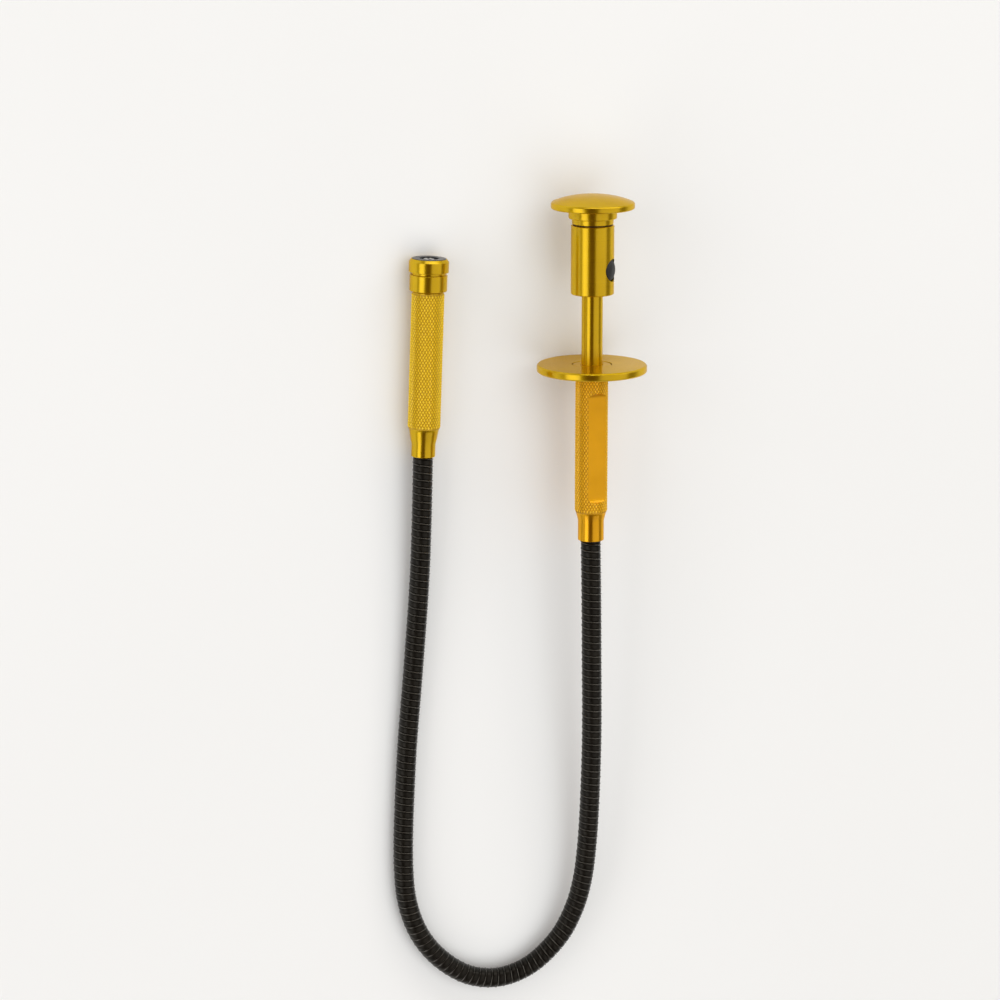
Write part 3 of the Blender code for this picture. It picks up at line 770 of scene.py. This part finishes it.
def make_grip():
    """Knurled handle grip with its milled label flat."""
    size = Extent("handle_grip", HANDLE)
    ferrule = 4.73
    band_low = 34.5
    band_high = size.high - 0.35
    valley = size.radius - KNURL_DEPTH
    bore = SHAFT_RADIUS / MM + 0.3
    socket_top = size.low + SOCKET_DEPTH / MM
    chamber_floor = size.low + 16.0
    chamber_top = Extent("rod_guide_bush", HANDLE).low - 0.3
    outline = [
        (valley - 0.02, band_low - 0.02),
        (5.35, 33.7),
        (4.98, 32.4),
        (ferrule, 31.2),
        (ferrule, size.low + 0.1),
        (ferrule - 0.15, size.low),
        (bore, size.low),
        (bore, socket_top),
        (1.6, socket_top),
        (1.6, chamber_floor),
        (4.15, chamber_floor),
        (4.15, chamber_top),
        (5.05, chamber_top),
        (5.05, size.high),
        (valley - 0.15, size.high),
        (valley, size.high - 0.15),
    ]
    grip = knurled_piece("Handle_Grip", size.radius, band_low, band_high,
                         open_fillets(outline, 0.1), HANDLE, "grip_knurl", "grip_gold")
    cut_away(grip, label_flat_cutter(size.radius))
    polish_flat(grip)
    stand_for(grip, "handle", "anodised_gold", "handle_grip")


def label_flat_cutter(radius):
    """A slab whose ends curve up, as a round cutter leaves them, turned a little from straight up.

    World up is local -Y here.
    """
    centre = FLAT_HEIGHT + FLAT_END_ARC
    sweep = math.acos((centre - radius) / FLAT_END_ARC)
    run = FLAT_END_ARC * math.sin(sweep)
    swept = math.degrees(sweep)
    low_end = arc((FLAT_START + run, centre), FLAT_END_ARC, -90 - swept, -90, 14)
    high_end = arc((FLAT_END - run, centre), FLAT_END_ARC, -90, -90 + swept, 14)
    top = FLAT_HEIGHT + 2.0
    side = [(FLAT_START - 1.0, top), *low_end, *high_end, (FLAT_END + 1.0, top)]
    mesh = prism_mesh("flat_cutter", radius, [(-up, height) for height, up in side])
    return in_scene("flat_cutter", mesh, HANDLE @ Matrix.Rotation(FLAT_TURN, 4, "Z"))


def polish_flat(grip):
    """Give the milled flat and its scooped ends their own satin finish."""
    mesh = grip.data
    mesh.materials.append(COATS["flat_gold"])
    across = Vector((math.cos(FLAT_TURN), math.sin(FLAT_TURN), 0))
    out = Vector((math.sin(FLAT_TURN), -math.cos(FLAT_TURN), 0))
    for polygon in mesh.polygons:
        centre = polygon.center / MM
        reach = centre.dot(out)
        in_length = FLAT_START - 1 < centre.z < FLAT_END + 1
        in_slab = reach > FLAT_HEIGHT - 0.02 and abs(polygon.normal.dot(across)) < 0.001
        if in_length and in_slab:
            polygon.material_index = 2


def make_flange():
    """Round finger rest with polished faces and a slightly crowned rim."""
    size = Extent("finger_flange", HANDLE)
    middle = (size.low + size.high) / 2
    head_seat = 87.4
    outline = [
        (size.radius - 0.55, size.high),
        (size.radius - 0.05, size.high - 0.5),
        (size.radius, middle),
        (size.radius - 0.05, size.low + 0.5),
        (size.radius - 0.55, size.low),
        (size.bore, size.low),
        (size.bore, head_seat),
        (7.2, head_seat),
        (7.2, size.high),
    ]
    turned_part("finger_flange", "handle", outline, HANDLE, sides=176)


def make_bush():
    """Headed bush that guides the rod."""
    size = Extent("rod_guide_bush", HANDLE)
    seat = 87.7
    sleeve = 4.9
    outline = [
        (size.radius - 0.15, size.high),
        (size.radius, size.high - 0.15),
        (size.radius, seat),
        (sleeve, seat),
        (sleeve, size.low),
        (size.bore, size.low),
        (size.bore, size.high - 0.25),
        (size.bore + 0.25, size.high),
    ]
    turned_part("rod_guide_bush", "handle", outline, HANDLE, size=0.06)


def make_return_spring():
    """Coil spring with closed ends under the rod."""
    size = Extent("plunger_return_spring", HANDLE)
    wire = 0.35
    turns = 14
    per_turn = 28
    radius = size.radius - wire
    low = size.low + wire
    high = size.high - wire
    count = turns * per_turn
    path = []
    for i in range(count + 1):
        angle = FULL_TURN * turns * i / count
        share = coil_rise(i / count, turns, wire / (high - low))
        path.append(Vector((radius * math.cos(angle), radius * math.sin(angle),
                            low + (high - low) * share)))
    mesh = swept_mesh("Return_Spring", path, wire, 10, MM)
    spring = place_piece("Return_Spring", mesh, HANDLE, COATS["steel"])
    stand_for(spring, "handle", "bright_steel", "plunger_return_spring")
    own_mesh(spring)


def coil_rise(share, turns, wire_share):
    """Height share along a coil whose first and last turns lie nearly flat."""
    flat = 1.0 / turns
    rise = 2.2 * wire_share
    if share < flat:
        return rise * share / flat
    if share > 1 - flat:
        return 1 - rise * (1 - share) / flat
    return rise + (1 - 2 * rise) * (share - flat) / (1 - 2 * flat)


def ring_round(centre, side, top, radius, sides):
    """Points of a ring round a place, in the plane of two directions."""
    points = []
    for k in range(sides):
        angle = FULL_TURN * k / sides
        points.append(centre + side * (radius * math.cos(angle)) + top * (radius * math.sin(angle)))
    return points


def swept_mesh(name, path, radius, sides, scale):
    """A closed round tube along a path."""
    verts = []
    faces = []
    last = len(path) - 1
    for i, point in enumerate(path):
        ahead = (path[min(i + 1, last)] - path[max(i - 1, 0)]).normalized()
        side = ahead.cross(UP).normalized()
        verts += ring_round(point, side, side.cross(ahead), radius, sides)
    rings = [tuple(range(i * sides, (i + 1) * sides)) for i in range(last + 1)]
    for one, other in zip(rings, rings[1:]):
        faces += joined(one, other)
    faces += [rings[0], rings[-1]]
    return mesh_of(name, verts, faces, scale)


# --- plunger ---

def make_rod():
    """Hollow rod with the groove for its stop clip."""
    size = Extent("plunger_rod", HANDLE)
    clip = Extent("rod_stop_clip", HANDLE)
    groove_low, groove_high, groove_radius = clip.low - 0.2, clip.high + 0.2, 3.3
    outline = [
        (size.radius, size.high),
        (size.radius, groove_high),
        (groove_radius, groove_high),
        (groove_radius, groove_low),
        (size.radius, groove_low),
        (size.radius, size.low),
        (size.bore, size.low),
        (size.bore, size.high),
    ]
    turned_part("plunger_rod", "plunger", outline, HANDLE, size=0.08)


def make_barrel():
    """Battery barrel with the hole for its light button."""
    size = Extent("battery_barrel", HANDLE)
    floor = 118.8
    thread_floor = 129.9
    outline = [
        (size.radius - 0.2, size.high),
        (size.radius, size.high - 0.2),
        (size.radius, size.low + 0.25),
        (size.radius - 0.25, size.low),
        (size.bore, size.low),
        (size.bore, floor),
        (6.6, floor),
        (6.6, thread_floor),
        (6.9, thread_floor),
        (6.9, size.high),
    ]
    barrel = turned("Battery_Barrel", outline, HANDLE, COATS["turned_gold"], sides=144, size=0.08)
    button = Extent("light_button", BUTTON)
    hole = turned_mesh("button_hole", [(0, 9.5), (4.1, 9.5), (4.1, 4.0), (0, 4.0)], 72)
    cut_away(barrel, in_scene("button_hole", hole, BUTTON))
    smooth(barrel.data)
    stand_for(barrel, "plunger", "anodised_gold", "battery_barrel")
    make_light_button(button)


def make_light_button(size):
    """Domed rubber button with a shallow dished top and a foot."""
    cap = 3.85
    shoulder = 7.0
    dome = []
    for i in range(15):
        share = i / 14
        dish = 0.12 * math.exp(-(share / 0.45) ** 2)
        dome.append((cap * share, shoulder + (size.high - shoulder) * (1 - share ** 2.6) - dish))
    outline = [*dome, (cap, 4.5), (size.radius, 4.5), (size.radius, size.low), (0, size.low)]
    turned_part("light_button", "light_button", outline, BUTTON, "rubber", SMALL_SIDES, 0.15)


def make_knob():
    """Mushroom thumb knob with its collar, neck and threaded skirt."""
    size = Extent("thumb_knob", HANDLE)
    rim_top, rim_bottom = 147.2, 145.2
    dome_base = rim_top + 0.3
    edge = size.radius - 0.3
    collar, collar_bottom, neck_bottom = 8.7, 141.7, 139.8
    dome = []
    for i in range(29):
        share = i / 28
        dome.append((edge * share, dome_base + (size.high - dome_base) * (1 - share ** 2.4)))
    outline = [
        *dome,
        (size.radius, rim_top - 0.15),
        (size.radius, rim_bottom + 0.35),
        (size.radius - 0.35, rim_bottom),
        (collar, rim_bottom),
        (collar, collar_bottom + 0.25),
        (collar - 0.25, collar_bottom),
        (7.45, collar_bottom),
        (7.45, neck_bottom),
        (6.65, neck_bottom),
        (6.65, size.low),
        (6.1, size.low),
        (6.1, 147.0),
        (0, 147.0),
    ]
    turned_part("thumb_knob", "plunger", outline, HANDLE, sides=160, size=0.18)
    seal = Extent("cap_seal", HANDLE)
    section = (seal.high - seal.low) / 2
    loop = arc((seal.radius - section, (seal.high + seal.low) / 2), section, 0, 330, 11)
    mesh = turned_mesh("Cap_Seal", loop, ROUND_SIDES)
    stand_for(place_piece("Cap_Seal", mesh, HANDLE, COATS["rubber"]), "plunger", "black_rubber",
              "cap_seal")


# --- head ---

def make_head_grip():
    """Knurled head tube from its ferrule to the spigot under the collar."""
    size = Extent("head_grip", HEAD)
    radius = HEAD_KNURL_RADIUS
    band_low, band_high = 10.35, 59.55
    valley = radius - KNURL_DEPTH
    ferrule = 4.33
    bore = SHAFT_RADIUS / MM + 0.3
    socket_top = SOCKET_DEPTH / MM
    outline = [
        (valley - 0.02, band_low - 0.02),
        (5.25, 9.3),
        (4.74, 6.3),
        (ferrule, 4.6),
        (ferrule, 0.2),
        (ferrule - 0.15, 0.0),
        (bore, 0.0),
        (bore, socket_top),
        (1.7, socket_top),
        (1.7, socket_top + 3),
        (4.6, socket_top + 3),
        (4.6, size.high),
        (5.2, size.high),
        (5.2, 59.85),
        (valley - 0.15, 59.85),
        (valley, 59.7),
    ]
    grip = knurled_piece("Head_Grip", radius, band_low, band_high,
                         open_fillets(outline, 0.1), HEAD, "knurled_gold", "turned_gold")
    stand_for(grip, "head", "anodised_gold", "head_grip")


def make_collar():
    """Plain collar whose neck shows as the groove under the cap."""
    size = Extent("head_collar", HEAD)
    shoulder = 66.05
    outline = [
        (6.05, size.high),
        (6.05, shoulder),
        (size.radius - 0.2, shoulder),
        (size.radius, shoulder - 0.2),
        (size.radius, size.low + 0.2),
        (size.radius - 0.2, size.low),
        (size.bore, size.low),
        (size.bore, size.high),
    ]
    turned_part("head_collar", "head", outline, HEAD, sides=136, size=0.08)


def make_cap():
    """Bezel with a broad polished chamfer, and the stepped ring magnet that it holds."""
    size = Extent("head_cap", HEAD)
    outline = [
        (size.bore, size.high),
        (size.radius - 0.75, size.high),
        (size.radius, size.high - 1.0),
        (size.radius, size.low + 0.2),
        (size.radius - 0.2, size.low),
        (size.bore, size.low),
    ]
    turned_part("head_cap", "head", outline, HEAD, sides=144, size=0.05)
    ring = Extent("magnet_ring", HEAD)
    step = 68.5
    outline = [
        (ring.radius - 0.15, ring.high),
        (ring.radius, ring.high - 0.15),
        (ring.radius, step),
        (5.15, step),
        (5.15, ring.low),
        (ring.bore, ring.low),
        (ring.bore, ring.high - 0.2),
        (ring.bore + 0.2, ring.high),
    ]
    turned_part("magnet_ring", "head", outline, HEAD, "magnet", 96, 0.06)


def make_claw():
    """Slug that slides in the sleeve, with the lamp on its stem."""
    size = Extent("claw_carrier", HEAD)
    outline = [
        (size.radius, size.high),
        (size.radius, size.low),
        (1.4, size.low),
        (1.4, 40.8),
        (0.75, 40.8),
        (0.75, 47.0),
        (1.15, 47.0),
        (1.15, size.high),
    ]
    turned_part("claw_carrier", "claw", outline, HEAD, "steel", SMALL_SIDES, 0.15)
    size = Extent("lamp_stem", HEAD)
    outline = [
        (size.radius, size.high),
        (size.radius, size.low),
        (size.bore, size.low),
        (size.bore, size.high),
    ]
    turned_part("lamp_stem", "claw", outline, HEAD, "steel", 40, 0.05)
    size = Extent("lamp", HEAD)
    lens = [(0, size.high), *arc((0, size.high - size.radius), size.radius, 82, 0, 11)]
    outline = [*lens, (size.radius, size.low), (0, size.low)]
    lamp = place_piece("Lamp", turned_mesh("Lamp", outline, 48), HEAD, COATS["lens"])
    stand_for(lamp, "claw", "lamp_lens", "lamp")


def finger_outline():
    """Side view of a finger as (distance from its hinge line, height): strip and inward hook."""
    thick = 0.35
    tip = 20.45
    reach = -0.95
    return [
        (thick, 0.0),
        (thick, tip - 0.75),
        *arc((thick - 0.6, tip - 0.6), 0.6, 0, 90, 6),
        (reach, tip),
        (reach, tip - 0.55),
        (-thick - 0.15, tip - 0.55),
        (-thick, tip - 0.75),
        (-thick, 0.0),
    ]


def make_fingers():
    """Four spring fingers of bent strip with broken edges."""
    outline = finger_outline()
    half = 0.55
    for number in range(1, 5):
        node = f"claw_finger_{number}"
        joint = JOINTS[f"{node}_hinge"]
        hinge = Vector(joint["pos_m"])
        axis = Vector(JOINTS["claw_slide"]["axis"]).normalized()
        outward_from = hinge - HEAD.translation
        outward_from -= axis * outward_from.dot(axis)
        y_axis = outward_from.normalized()
        place = frame_at(hinge, y_axis.cross(axis), y_axis, axis)
        mesh = prism_mesh(node, half, outline)
        bm = bmesh.new()
        bm.from_mesh(mesh)
        edges = [edge for edge in bm.edges if edge.calc_face_angle(0) > math.radians(25)]
        bmesh.ops.bevel(bm, geom=edges, offset=0.08 * MM, segments=2, affect="EDGES", profile=0.5)
        bm.to_mesh(mesh)
        bm.free()
        finger = place_piece(node.title(), mesh, place, COATS["steel"])
        stand_for(finger, node, "bright_steel", node)


# --- shaft ---

def ease(value):
    """0 to 1 with level ends."""
    value = min(1.0, max(0.0, value))
    return value * value * (3 - 2 * value)


def curve_through(points, per_piece=24):
    """A smooth plane curve through points (centripetal Catmull-Rom)."""
    ends = [points[0] * 2 - points[1], *points, points[-1] * 2 - points[-2]]
    out = []
    for p0, p1, p2, p3 in zip(ends, ends[1:], ends[2:], ends[3:]):
        t1 = math.sqrt((p1 - p0).length)
        t2 = t1 + math.sqrt((p2 - p1).length)
        t3 = t2 + math.sqrt((p3 - p2).length)
        for i in range(per_piece):
            t = t1 + (t2 - t1) * i / per_piece
            a1 = p0 * ((t1 - t) / t1) + p1 * (t / t1)
            a2 = p1 * ((t2 - t) / (t2 - t1)) + p2 * ((t - t1) / (t2 - t1))
            a3 = p2 * ((t3 - t) / (t3 - t2)) + p3 * ((t - t2) / (t3 - t2))
            b1 = a1 * ((t2 - t) / t2) + a2 * (t / t2)
            b2 = a2 * ((t3 - t) / (t3 - t1)) + a3 * ((t - t1) / (t3 - t1))
            out.append(b1 * ((t2 - t) / (t2 - t1)) + b2 * ((t - t1) / (t2 - t1)))
    out.append(points[-1])
    return out


def even_steps(points, step):
    """The same line with points an even distance apart."""
    line = Route(points)
    count = round(line.length / step)
    return [line.at(line.length * i / count) for i in range(count + 1)]


def shaft_route():
    """The shaft's centre line between the ends of both sockets, in even steps."""
    handle_x, handle_z = HANDLE.translation.x, HANDLE.translation.z
    head = HEAD.translation.copy()
    head_z = head.z
    head.z = 0
    axis = HEAD.to_3x3().col[2]
    mouth = Vector((handle_x, FERRULE_MOUTH, 0))
    plan = [mouth + Vector((0, SOCKET_DEPTH * share, 0)) for share in (0.98, 0.5)]
    plan += [Vector((x, y, 0)) for x, y in SHAFT_PLAN]
    plan += [head + axis * (SOCKET_DEPTH * share) for share in (0, 0.5, 0.96)]
    flat = even_steps(curve_through(plan), ROUTE_STEP)
    first = SOCKET_DEPTH
    last = (len(flat) - 1) * ROUTE_STEP - SOCKET_DEPTH
    out = []
    for i, point in enumerate(flat):
        here = i * ROUTE_STEP
        sag = (handle_z - FLOOR_HEIGHT) * ease((here - first) / SAG_LENGTH)
        climb = (head_z - FLOOR_HEIGHT) * ease((here - last + CLIMB_LENGTH) / CLIMB_LENGTH)
        out.append(Vector((point.x, point.y, handle_z - sag + climb)))
    return out


class Route:
    """A line through points, by distance along it."""

    def __init__(self, points):
        self.points = points
        self.travelled = [0.0]
        for a, b in zip(points, points[1:]):
            self.travelled.append(self.travelled[-1] + (b - a).length)
        self.length = self.travelled[-1]

    def piece(self, distance):
        """Index of the step that holds a distance."""
        index = int(distance / self.length * (len(self.points) - 1))
        index = min(max(index, 0), len(self.points) - 2)
        while index > 0 and self.travelled[index] > distance:
            index -= 1
        while index < len(self.points) - 2 and self.travelled[index + 1] < distance:
            index += 1
        return index

    def at(self, distance):
        """Point at a distance; it runs straight on beyond both ends."""
        i = self.piece(distance)
        step = self.travelled[i + 1] - self.travelled[i]
        return self.points[i].lerp(self.points[i + 1], (distance - self.travelled[i]) / step)

    def axes(self, distance):
        """Directions along, to the side of and above the line."""
        ahead = (self.at(distance + ROUTE_STEP) - self.at(distance - ROUTE_STEP)).normalized()
        side = ahead.cross(UP).normalized()
        return ahead, side, side.cross(ahead)

    def nearest(self, place):
        """Distance of the point of the line nearest to a place."""
        index = min(range(len(self.points)), key=lambda i: (self.points[i] - place).length)
        return self.travelled[index]

    def ring(self, distance, radius, sides):
        """Points of a ring square to the line."""
        _, side, top = self.axes(distance)
        return ring_round(self.at(distance), side, top, radius, sides)


def rib_lattice(route, start, end):
    """The wound strip's outer skin as a bmesh, whole turns that cover start to end."""
    bm = bmesh.new()
    first = math.floor(start / RIB_PITCH - 1.5) * RIB_SIDES
    last = math.ceil(end / RIB_PITCH + 1.5) * RIB_SIDES
    samples = len(RIB_PROFILE)
    stations = []
    for k in range(first, last + RIB_SIDES + 1):
        angle = FULL_TURN * k / RIB_SIDES
        column = []
        for share, radius in RIB_PROFILE:
            distance = RIB_PITCH * (k / RIB_SIDES + share)
            centre = route.at(distance)
            _, side, top = route.axes(distance)
            reach = radius * MM
            place = centre + side * (reach * math.cos(angle)) + top * (reach * math.sin(angle))
            column.append(bm.verts.new(place))
        stations.append(column)
    for k in range(len(stations) - RIB_SIDES - 1):
        here = stations[k] + [stations[k + RIB_SIDES][0]]
        beside = stations[k + 1] + [stations[k + RIB_SIDES + 1][0]]
        for j in range(samples):
            face = bm.faces.new((here[j], beside[j], beside[j + 1], here[j + 1]))
            face.material_index = int(RIB_PROFILE[j][0] > BEAD_START)
    loose = [vert for vert in bm.verts if not vert.link_faces]
    bmesh.ops.delete(bm, geom=loose, context="VERTS")
    return bm


def close_end(bm, route, distance, inner):
    """Close one end of a span with a flat ring of triangles from its outer edge to its bore."""
    centre = route.at(distance)
    ahead, side, top = route.axes(distance)

    def angle_of(vert):
        offset = vert.co - centre
        return math.atan2(offset.dot(top), offset.dot(side)) % FULL_TURN

    outer = []
    for vert in bm.verts:
        if vert.is_boundary and abs((vert.co - centre).dot(ahead)) < 1e-6 and vert not in inner:
            outer.append(vert)
    outer.sort(key=angle_of)
    inner = sorted(inner, key=angle_of)
    a, b = 0, 0
    while a < len(outer) or b < len(inner):
        outer_next = angle_of(outer[a + 1]) if a + 1 < len(outer) else FULL_TURN
        inner_next = angle_of(inner[b + 1]) if b + 1 < len(inner) else FULL_TURN
        one, other = outer[a % len(outer)], inner[b % len(inner)]
        if b >= len(inner) or (a < len(outer) and outer_next <= inner_next):
            bm.faces.new((one, outer[(a + 1) % len(outer)], other))
            a += 1
        else:
            bm.faces.new((one, inner[(b + 1) % len(inner)], other))
            b += 1


def sheath_mesh(name, route, start, end):
    """One stretch of the wound sheath, hollow and closed at both ends."""
    bm = rib_lattice(route, start, end)
    for distance, sign in ((start, -1), (end, 1)):
        ahead, _, _ = route.axes(distance)
        everything = [*bm.verts, *bm.edges, *bm.faces]
        bmesh.ops.bisect_plane(bm, geom=everything, plane_co=route.at(distance),
                               plane_no=ahead * sign, clear_outer=True, dist=1e-7)
    rings = []
    count = max(2, round((end - start) / BORE_STEP))
    for i in range(count + 1):
        distance = start + (end - start) * i / count
        rings.append([bm.verts.new(p) for p in route.ring(distance, SHAFT_BORE, BORE_SIDES)])
    for one, other in zip(rings, rings[1:]):
        for face in joined(one, other):
            bm.faces.new(face)
    close_end(bm, route, start, rings[0])
    close_end(bm, route, end, rings[-1])
    bmesh.ops.recalc_face_normals(bm, faces=bm.faces)
    mesh = bpy.data.meshes.new(name)
    bm.to_mesh(mesh)
    bm.free()
    return mesh


def hinge_joints():
    """The shaft's hinges from the handle to the head."""
    chain = []
    body = "handle"
    while body != "head":
        joint = next(j for j in frame["joints"]
                     if j["type"] == "hinge" and j["parent"] == body and "_bend_" in j["name"])
        chain.append(joint)
        body = joint["child"]
    return chain


def make_shaft():
    """The bent sheath in one stretch per hinge."""
    route = Route(shaft_route())
    hinges = hinge_joints()
    marks = [route.nearest(Vector(joint["pos_m"])) for joint in hinges]
    cuts = [0.0, *((a + b) / 2 for a, b in zip(marks, marks[1:])), route.length]
    for number, (joint, mark) in enumerate(zip(hinges, marks), start=1):
        start, end = cuts[number - 1], cuts[number]
        zone = min(mark - start, end - mark) - BEND_MARGIN
        bend = (joint["parent"], joint["child"],
                tuple(route.at(mark - zone)), tuple(route.at(mark + zone)))
        nodes = [f"shaft_span_{number:02d}"]
        if number == len(hinges):
            nodes.append(f"shaft_span_{number + 1:02d}")
        name = f"Shaft_{number:02d}"
        mesh = sheath_mesh(name, route, start, end)
        piece = place_piece(name, mesh, Matrix.Identity(4), COATS["shaft"])
        mesh.materials.append(COATS["bead"])
        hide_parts(*nodes)
        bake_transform(piece)
        cable_piece(number, route, start, end)
        lead_piece(number, route, start, end)
    make_line_ends(route, len(hinges) + 1)


def blended(name, mesh, coat, node):
    """A piece in place of part of a CAD node."""
    piece = place_piece(name, mesh, Matrix.Identity(4), COATS[coat])
    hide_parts(node)
    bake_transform(piece)


def cable_piece(number, route, start, end):
    """One stretch of the drive cable's hollow coil."""
    name = f"Drive_Cable_{number:02d}"
    blended(name, hollow_mesh(name, route, start, end), "steel", "drive_cable")


def lead_piece(number, route, start, end):
    """One stretch of the lamp lead inside the cable."""
    name = f"Lamp_Lead_{number:02d}"
    steps = max(2, round((end - start) / BORE_STEP))
    path = [route.at(start + (end - start) * i / steps) for i in range(steps + 1)]
    mesh = swept_mesh(name, path, LEAD_RADIUS, 8, 1.0)
    blended(name, mesh, "lead", "lamp_lead")


def straight_route(start, end):
    """A straight line from one place to another in even steps."""
    count = round((end - start).length / ROUTE_STEP)
    return Route([start.lerp(end, i / count) for i in range(count + 1)])


def make_line_ends(route, last):
    """Cable and lead in the rod and in the head."""
    ends = (
        (0, "handle", "plunger", route.at(0), HANDLE, CABLE_IN_CRIMP, LEAD_AT_SWITCH),
        (last, "head", "claw", route.at(route.length), HEAD, CABLE_IN_CARRIER, LEAD_AT_LAMP),
    )
    for number, still, sliding, start, place, cable_height, lead_height in ends:
        cable_end = place @ Vector((0, 0, cable_height))
        line = straight_route(start, place @ Vector((0, 0, lead_height)))
        cable_piece(number, line, 0.0, (cable_end - start).length)
        lead_piece(number, line, 0.0, line.length)


def hollow_mesh(name, route, start, end):
    """A stretch of the drive cable's hollow coil."""
    steps = max(2, round((end - start) / CABLE_STEP))
    sides = 12
    verts = []
    faces = []
    for i in range(steps + 1):
        distance = start + (end - start) * i / steps
        verts += route.ring(distance, CABLE_RADIUS, sides)
        verts += route.ring(distance, CABLE_BORE, sides)
    for k in range(sides):
        n = (k + 1) % sides
        for i in range(steps):
            base, ahead = 2 * sides * i, 2 * sides * (i + 1)
            faces.append((base + k, base + n, ahead + n, ahead + k))
            faces.append((base + sides + n, base + sides + k, ahead + sides + k, ahead + sides + n))
        faces.append((k, k + sides, n + sides, n))
        end_base = 2 * sides * steps
        faces.append((end_base + k, end_base + n, end_base + n + sides, end_base + k + sides))
    return mesh_of(name, verts, faces, 1.0)


# --- scene ---

def make_camera():
    """The camera at the photograph's angle."""
    data = bpy.data.cameras.new("camera")
    data.lens = CAMERA_LENS
    data.sensor_width = CAMERA_SENSOR
    data.clip_start = 0.05
    data.clip_end = 60.0
    back = (CAMERA_PLACE - CAMERA_TARGET).normalized()
    right = Vector((0, 1, 0)).cross(back).normalized()
    place = frame_at(CAMERA_PLACE, right, back.cross(right), back)
    bpy.context.scene.camera = in_scene("camera", data, place)


def area_light(name, centre, away, across, width, length, radiance, colour):
    """A soft rectangular light facing back along away, its width measured along across."""
    data = bpy.data.lights.new(name, "AREA")
    data.shape = "RECTANGLE"
    data.size = width
    data.size_y = length
    data.energy = radiance * math.pi * width * length
    data.color = colour
    in_scene(name, data, frame_at(centre, across, away.cross(across), away))


def side_light(name, tilt, width, radiance, colour):
    """A softbox that runs 2 m along the tool, tilt degrees from straight up towards +X."""
    angle = math.radians(tilt)
    away = Vector((math.sin(angle), 0, math.cos(angle)))
    centre = away * 1.25 + Vector((0, -0.3, 0))
    area_light(name, centre, away, Vector((0, 1, 0)).cross(away), width, 2.0, radiance, colour)


def back_light(name, height_angle, width, length, radiance, colour):
    """A low softbox beyond the +Y end of the tool, height_angle degrees above the floor."""
    angle = math.radians(height_angle)
    away = Vector((0.32 * math.cos(angle), 0.947 * math.cos(angle), math.sin(angle)))
    across = away.cross(UP).normalized()
    area_light(name, away * 1.4, away, across, width, length, radiance, colour)


def floor_lift():
    """A very soft light from above that brightens the floor evenly and shows in no reflection."""
    data = bpy.data.lights.new("floor_lift", "SUN")
    data.energy = 1.35
    data.angle = math.radians(80)
    data.color = (0.89, 0.97, 1.0)
    in_scene("floor_lift", data).visible_glossy = False


def make_floor():
    """A plain pale floor."""
    nodes = Nodes("floor")
    mottle = nodes.noise(3.0, 2.0)
    colour = nodes.ramp(mottle, ((0.3, (0.86, 0.86, 0.86)), (0.7, (0.88, 0.88, 0.88))))
    nodes.drive("Base Color", colour)
    nodes.set(Roughness=0.9, Specular_IOR_Level=0.15)
    half = 20.0
    mesh = bpy.data.meshes.new("floor")
    corners = [(-half, -half, 0), (half, -half, 0), (half, half, 0), (-half, half, 0)]
    mesh.from_pydata(corners, [], [(0, 1, 2, 3)])
    mesh.materials.append(nodes.made)
    floor = in_scene("floor", mesh)


# Colours of the studio round the floor, by the height of the direction looked in.
SKY = (
    (0.01, (0.60, 0.58, 0.55)),
    (0.14, (0.30, 0.26, 0.22)),
    (0.80, (0.115, 0.064, 0.036)),
)


def make_world():
    """A studio that is pale near the horizon and dim overhead."""
    world = bpy.data.worlds.new("studio")
    bpy.context.scene.world = world
    world.use_nodes = True
    tree = world.node_tree
    coordinates = tree.nodes.new("ShaderNodeTexCoord")
    parts = tree.nodes.new("ShaderNodeSeparateXYZ")
    ramp = tree.nodes.new("ShaderNodeValToRGB")
    ramp.color_ramp.elements.new(0.5)
    for element, (height, colour) in zip(ramp.color_ramp.elements, SKY):
        element.position = height
        element.color = (*colour, 1.0)
    tree.links.new(coordinates.outputs["Generated"], parts.inputs[0])
    tree.links.new(parts.outputs[2], ramp.inputs["Fac"])
    background = tree.nodes["Background"]
    tree.links.new(ramp.outputs["Color"], background.inputs["Color"])
    background.inputs["Strength"].default_value = 1.0


def make_lights():
    """A narrow key on the left, a broad fill on the right, a low light beyond the knob and the head
    that picks out the chamfers, and the floor's own light.
    """
    side_light("key", -58.5, 0.70, 1.5, (1.0, 1.0, 1.0))
    side_light("fill", 28.0, 1.50, 0.72, (1.0, 0.99, 0.97))
    back_light("back", 27.0, 2.4, 0.45, 2.4, (1.0, 0.99, 0.96))
    floor_lift()


def main():
    """Build every visible piece, then the studio."""
    make_camera()
    make_world()
    make_lights()
    make_floor()
    finish_kept_nodes()
    make_grip()
    make_flange()
    make_bush()
    make_return_spring()
    make_rod()
    make_barrel()
    make_knob()
    make_head_grip()
    make_collar()
    make_cap()
    make_claw()
    make_fingers()
    make_shaft()
    bpy.context.scene.view_settings.view_transform = "Standard"


main()
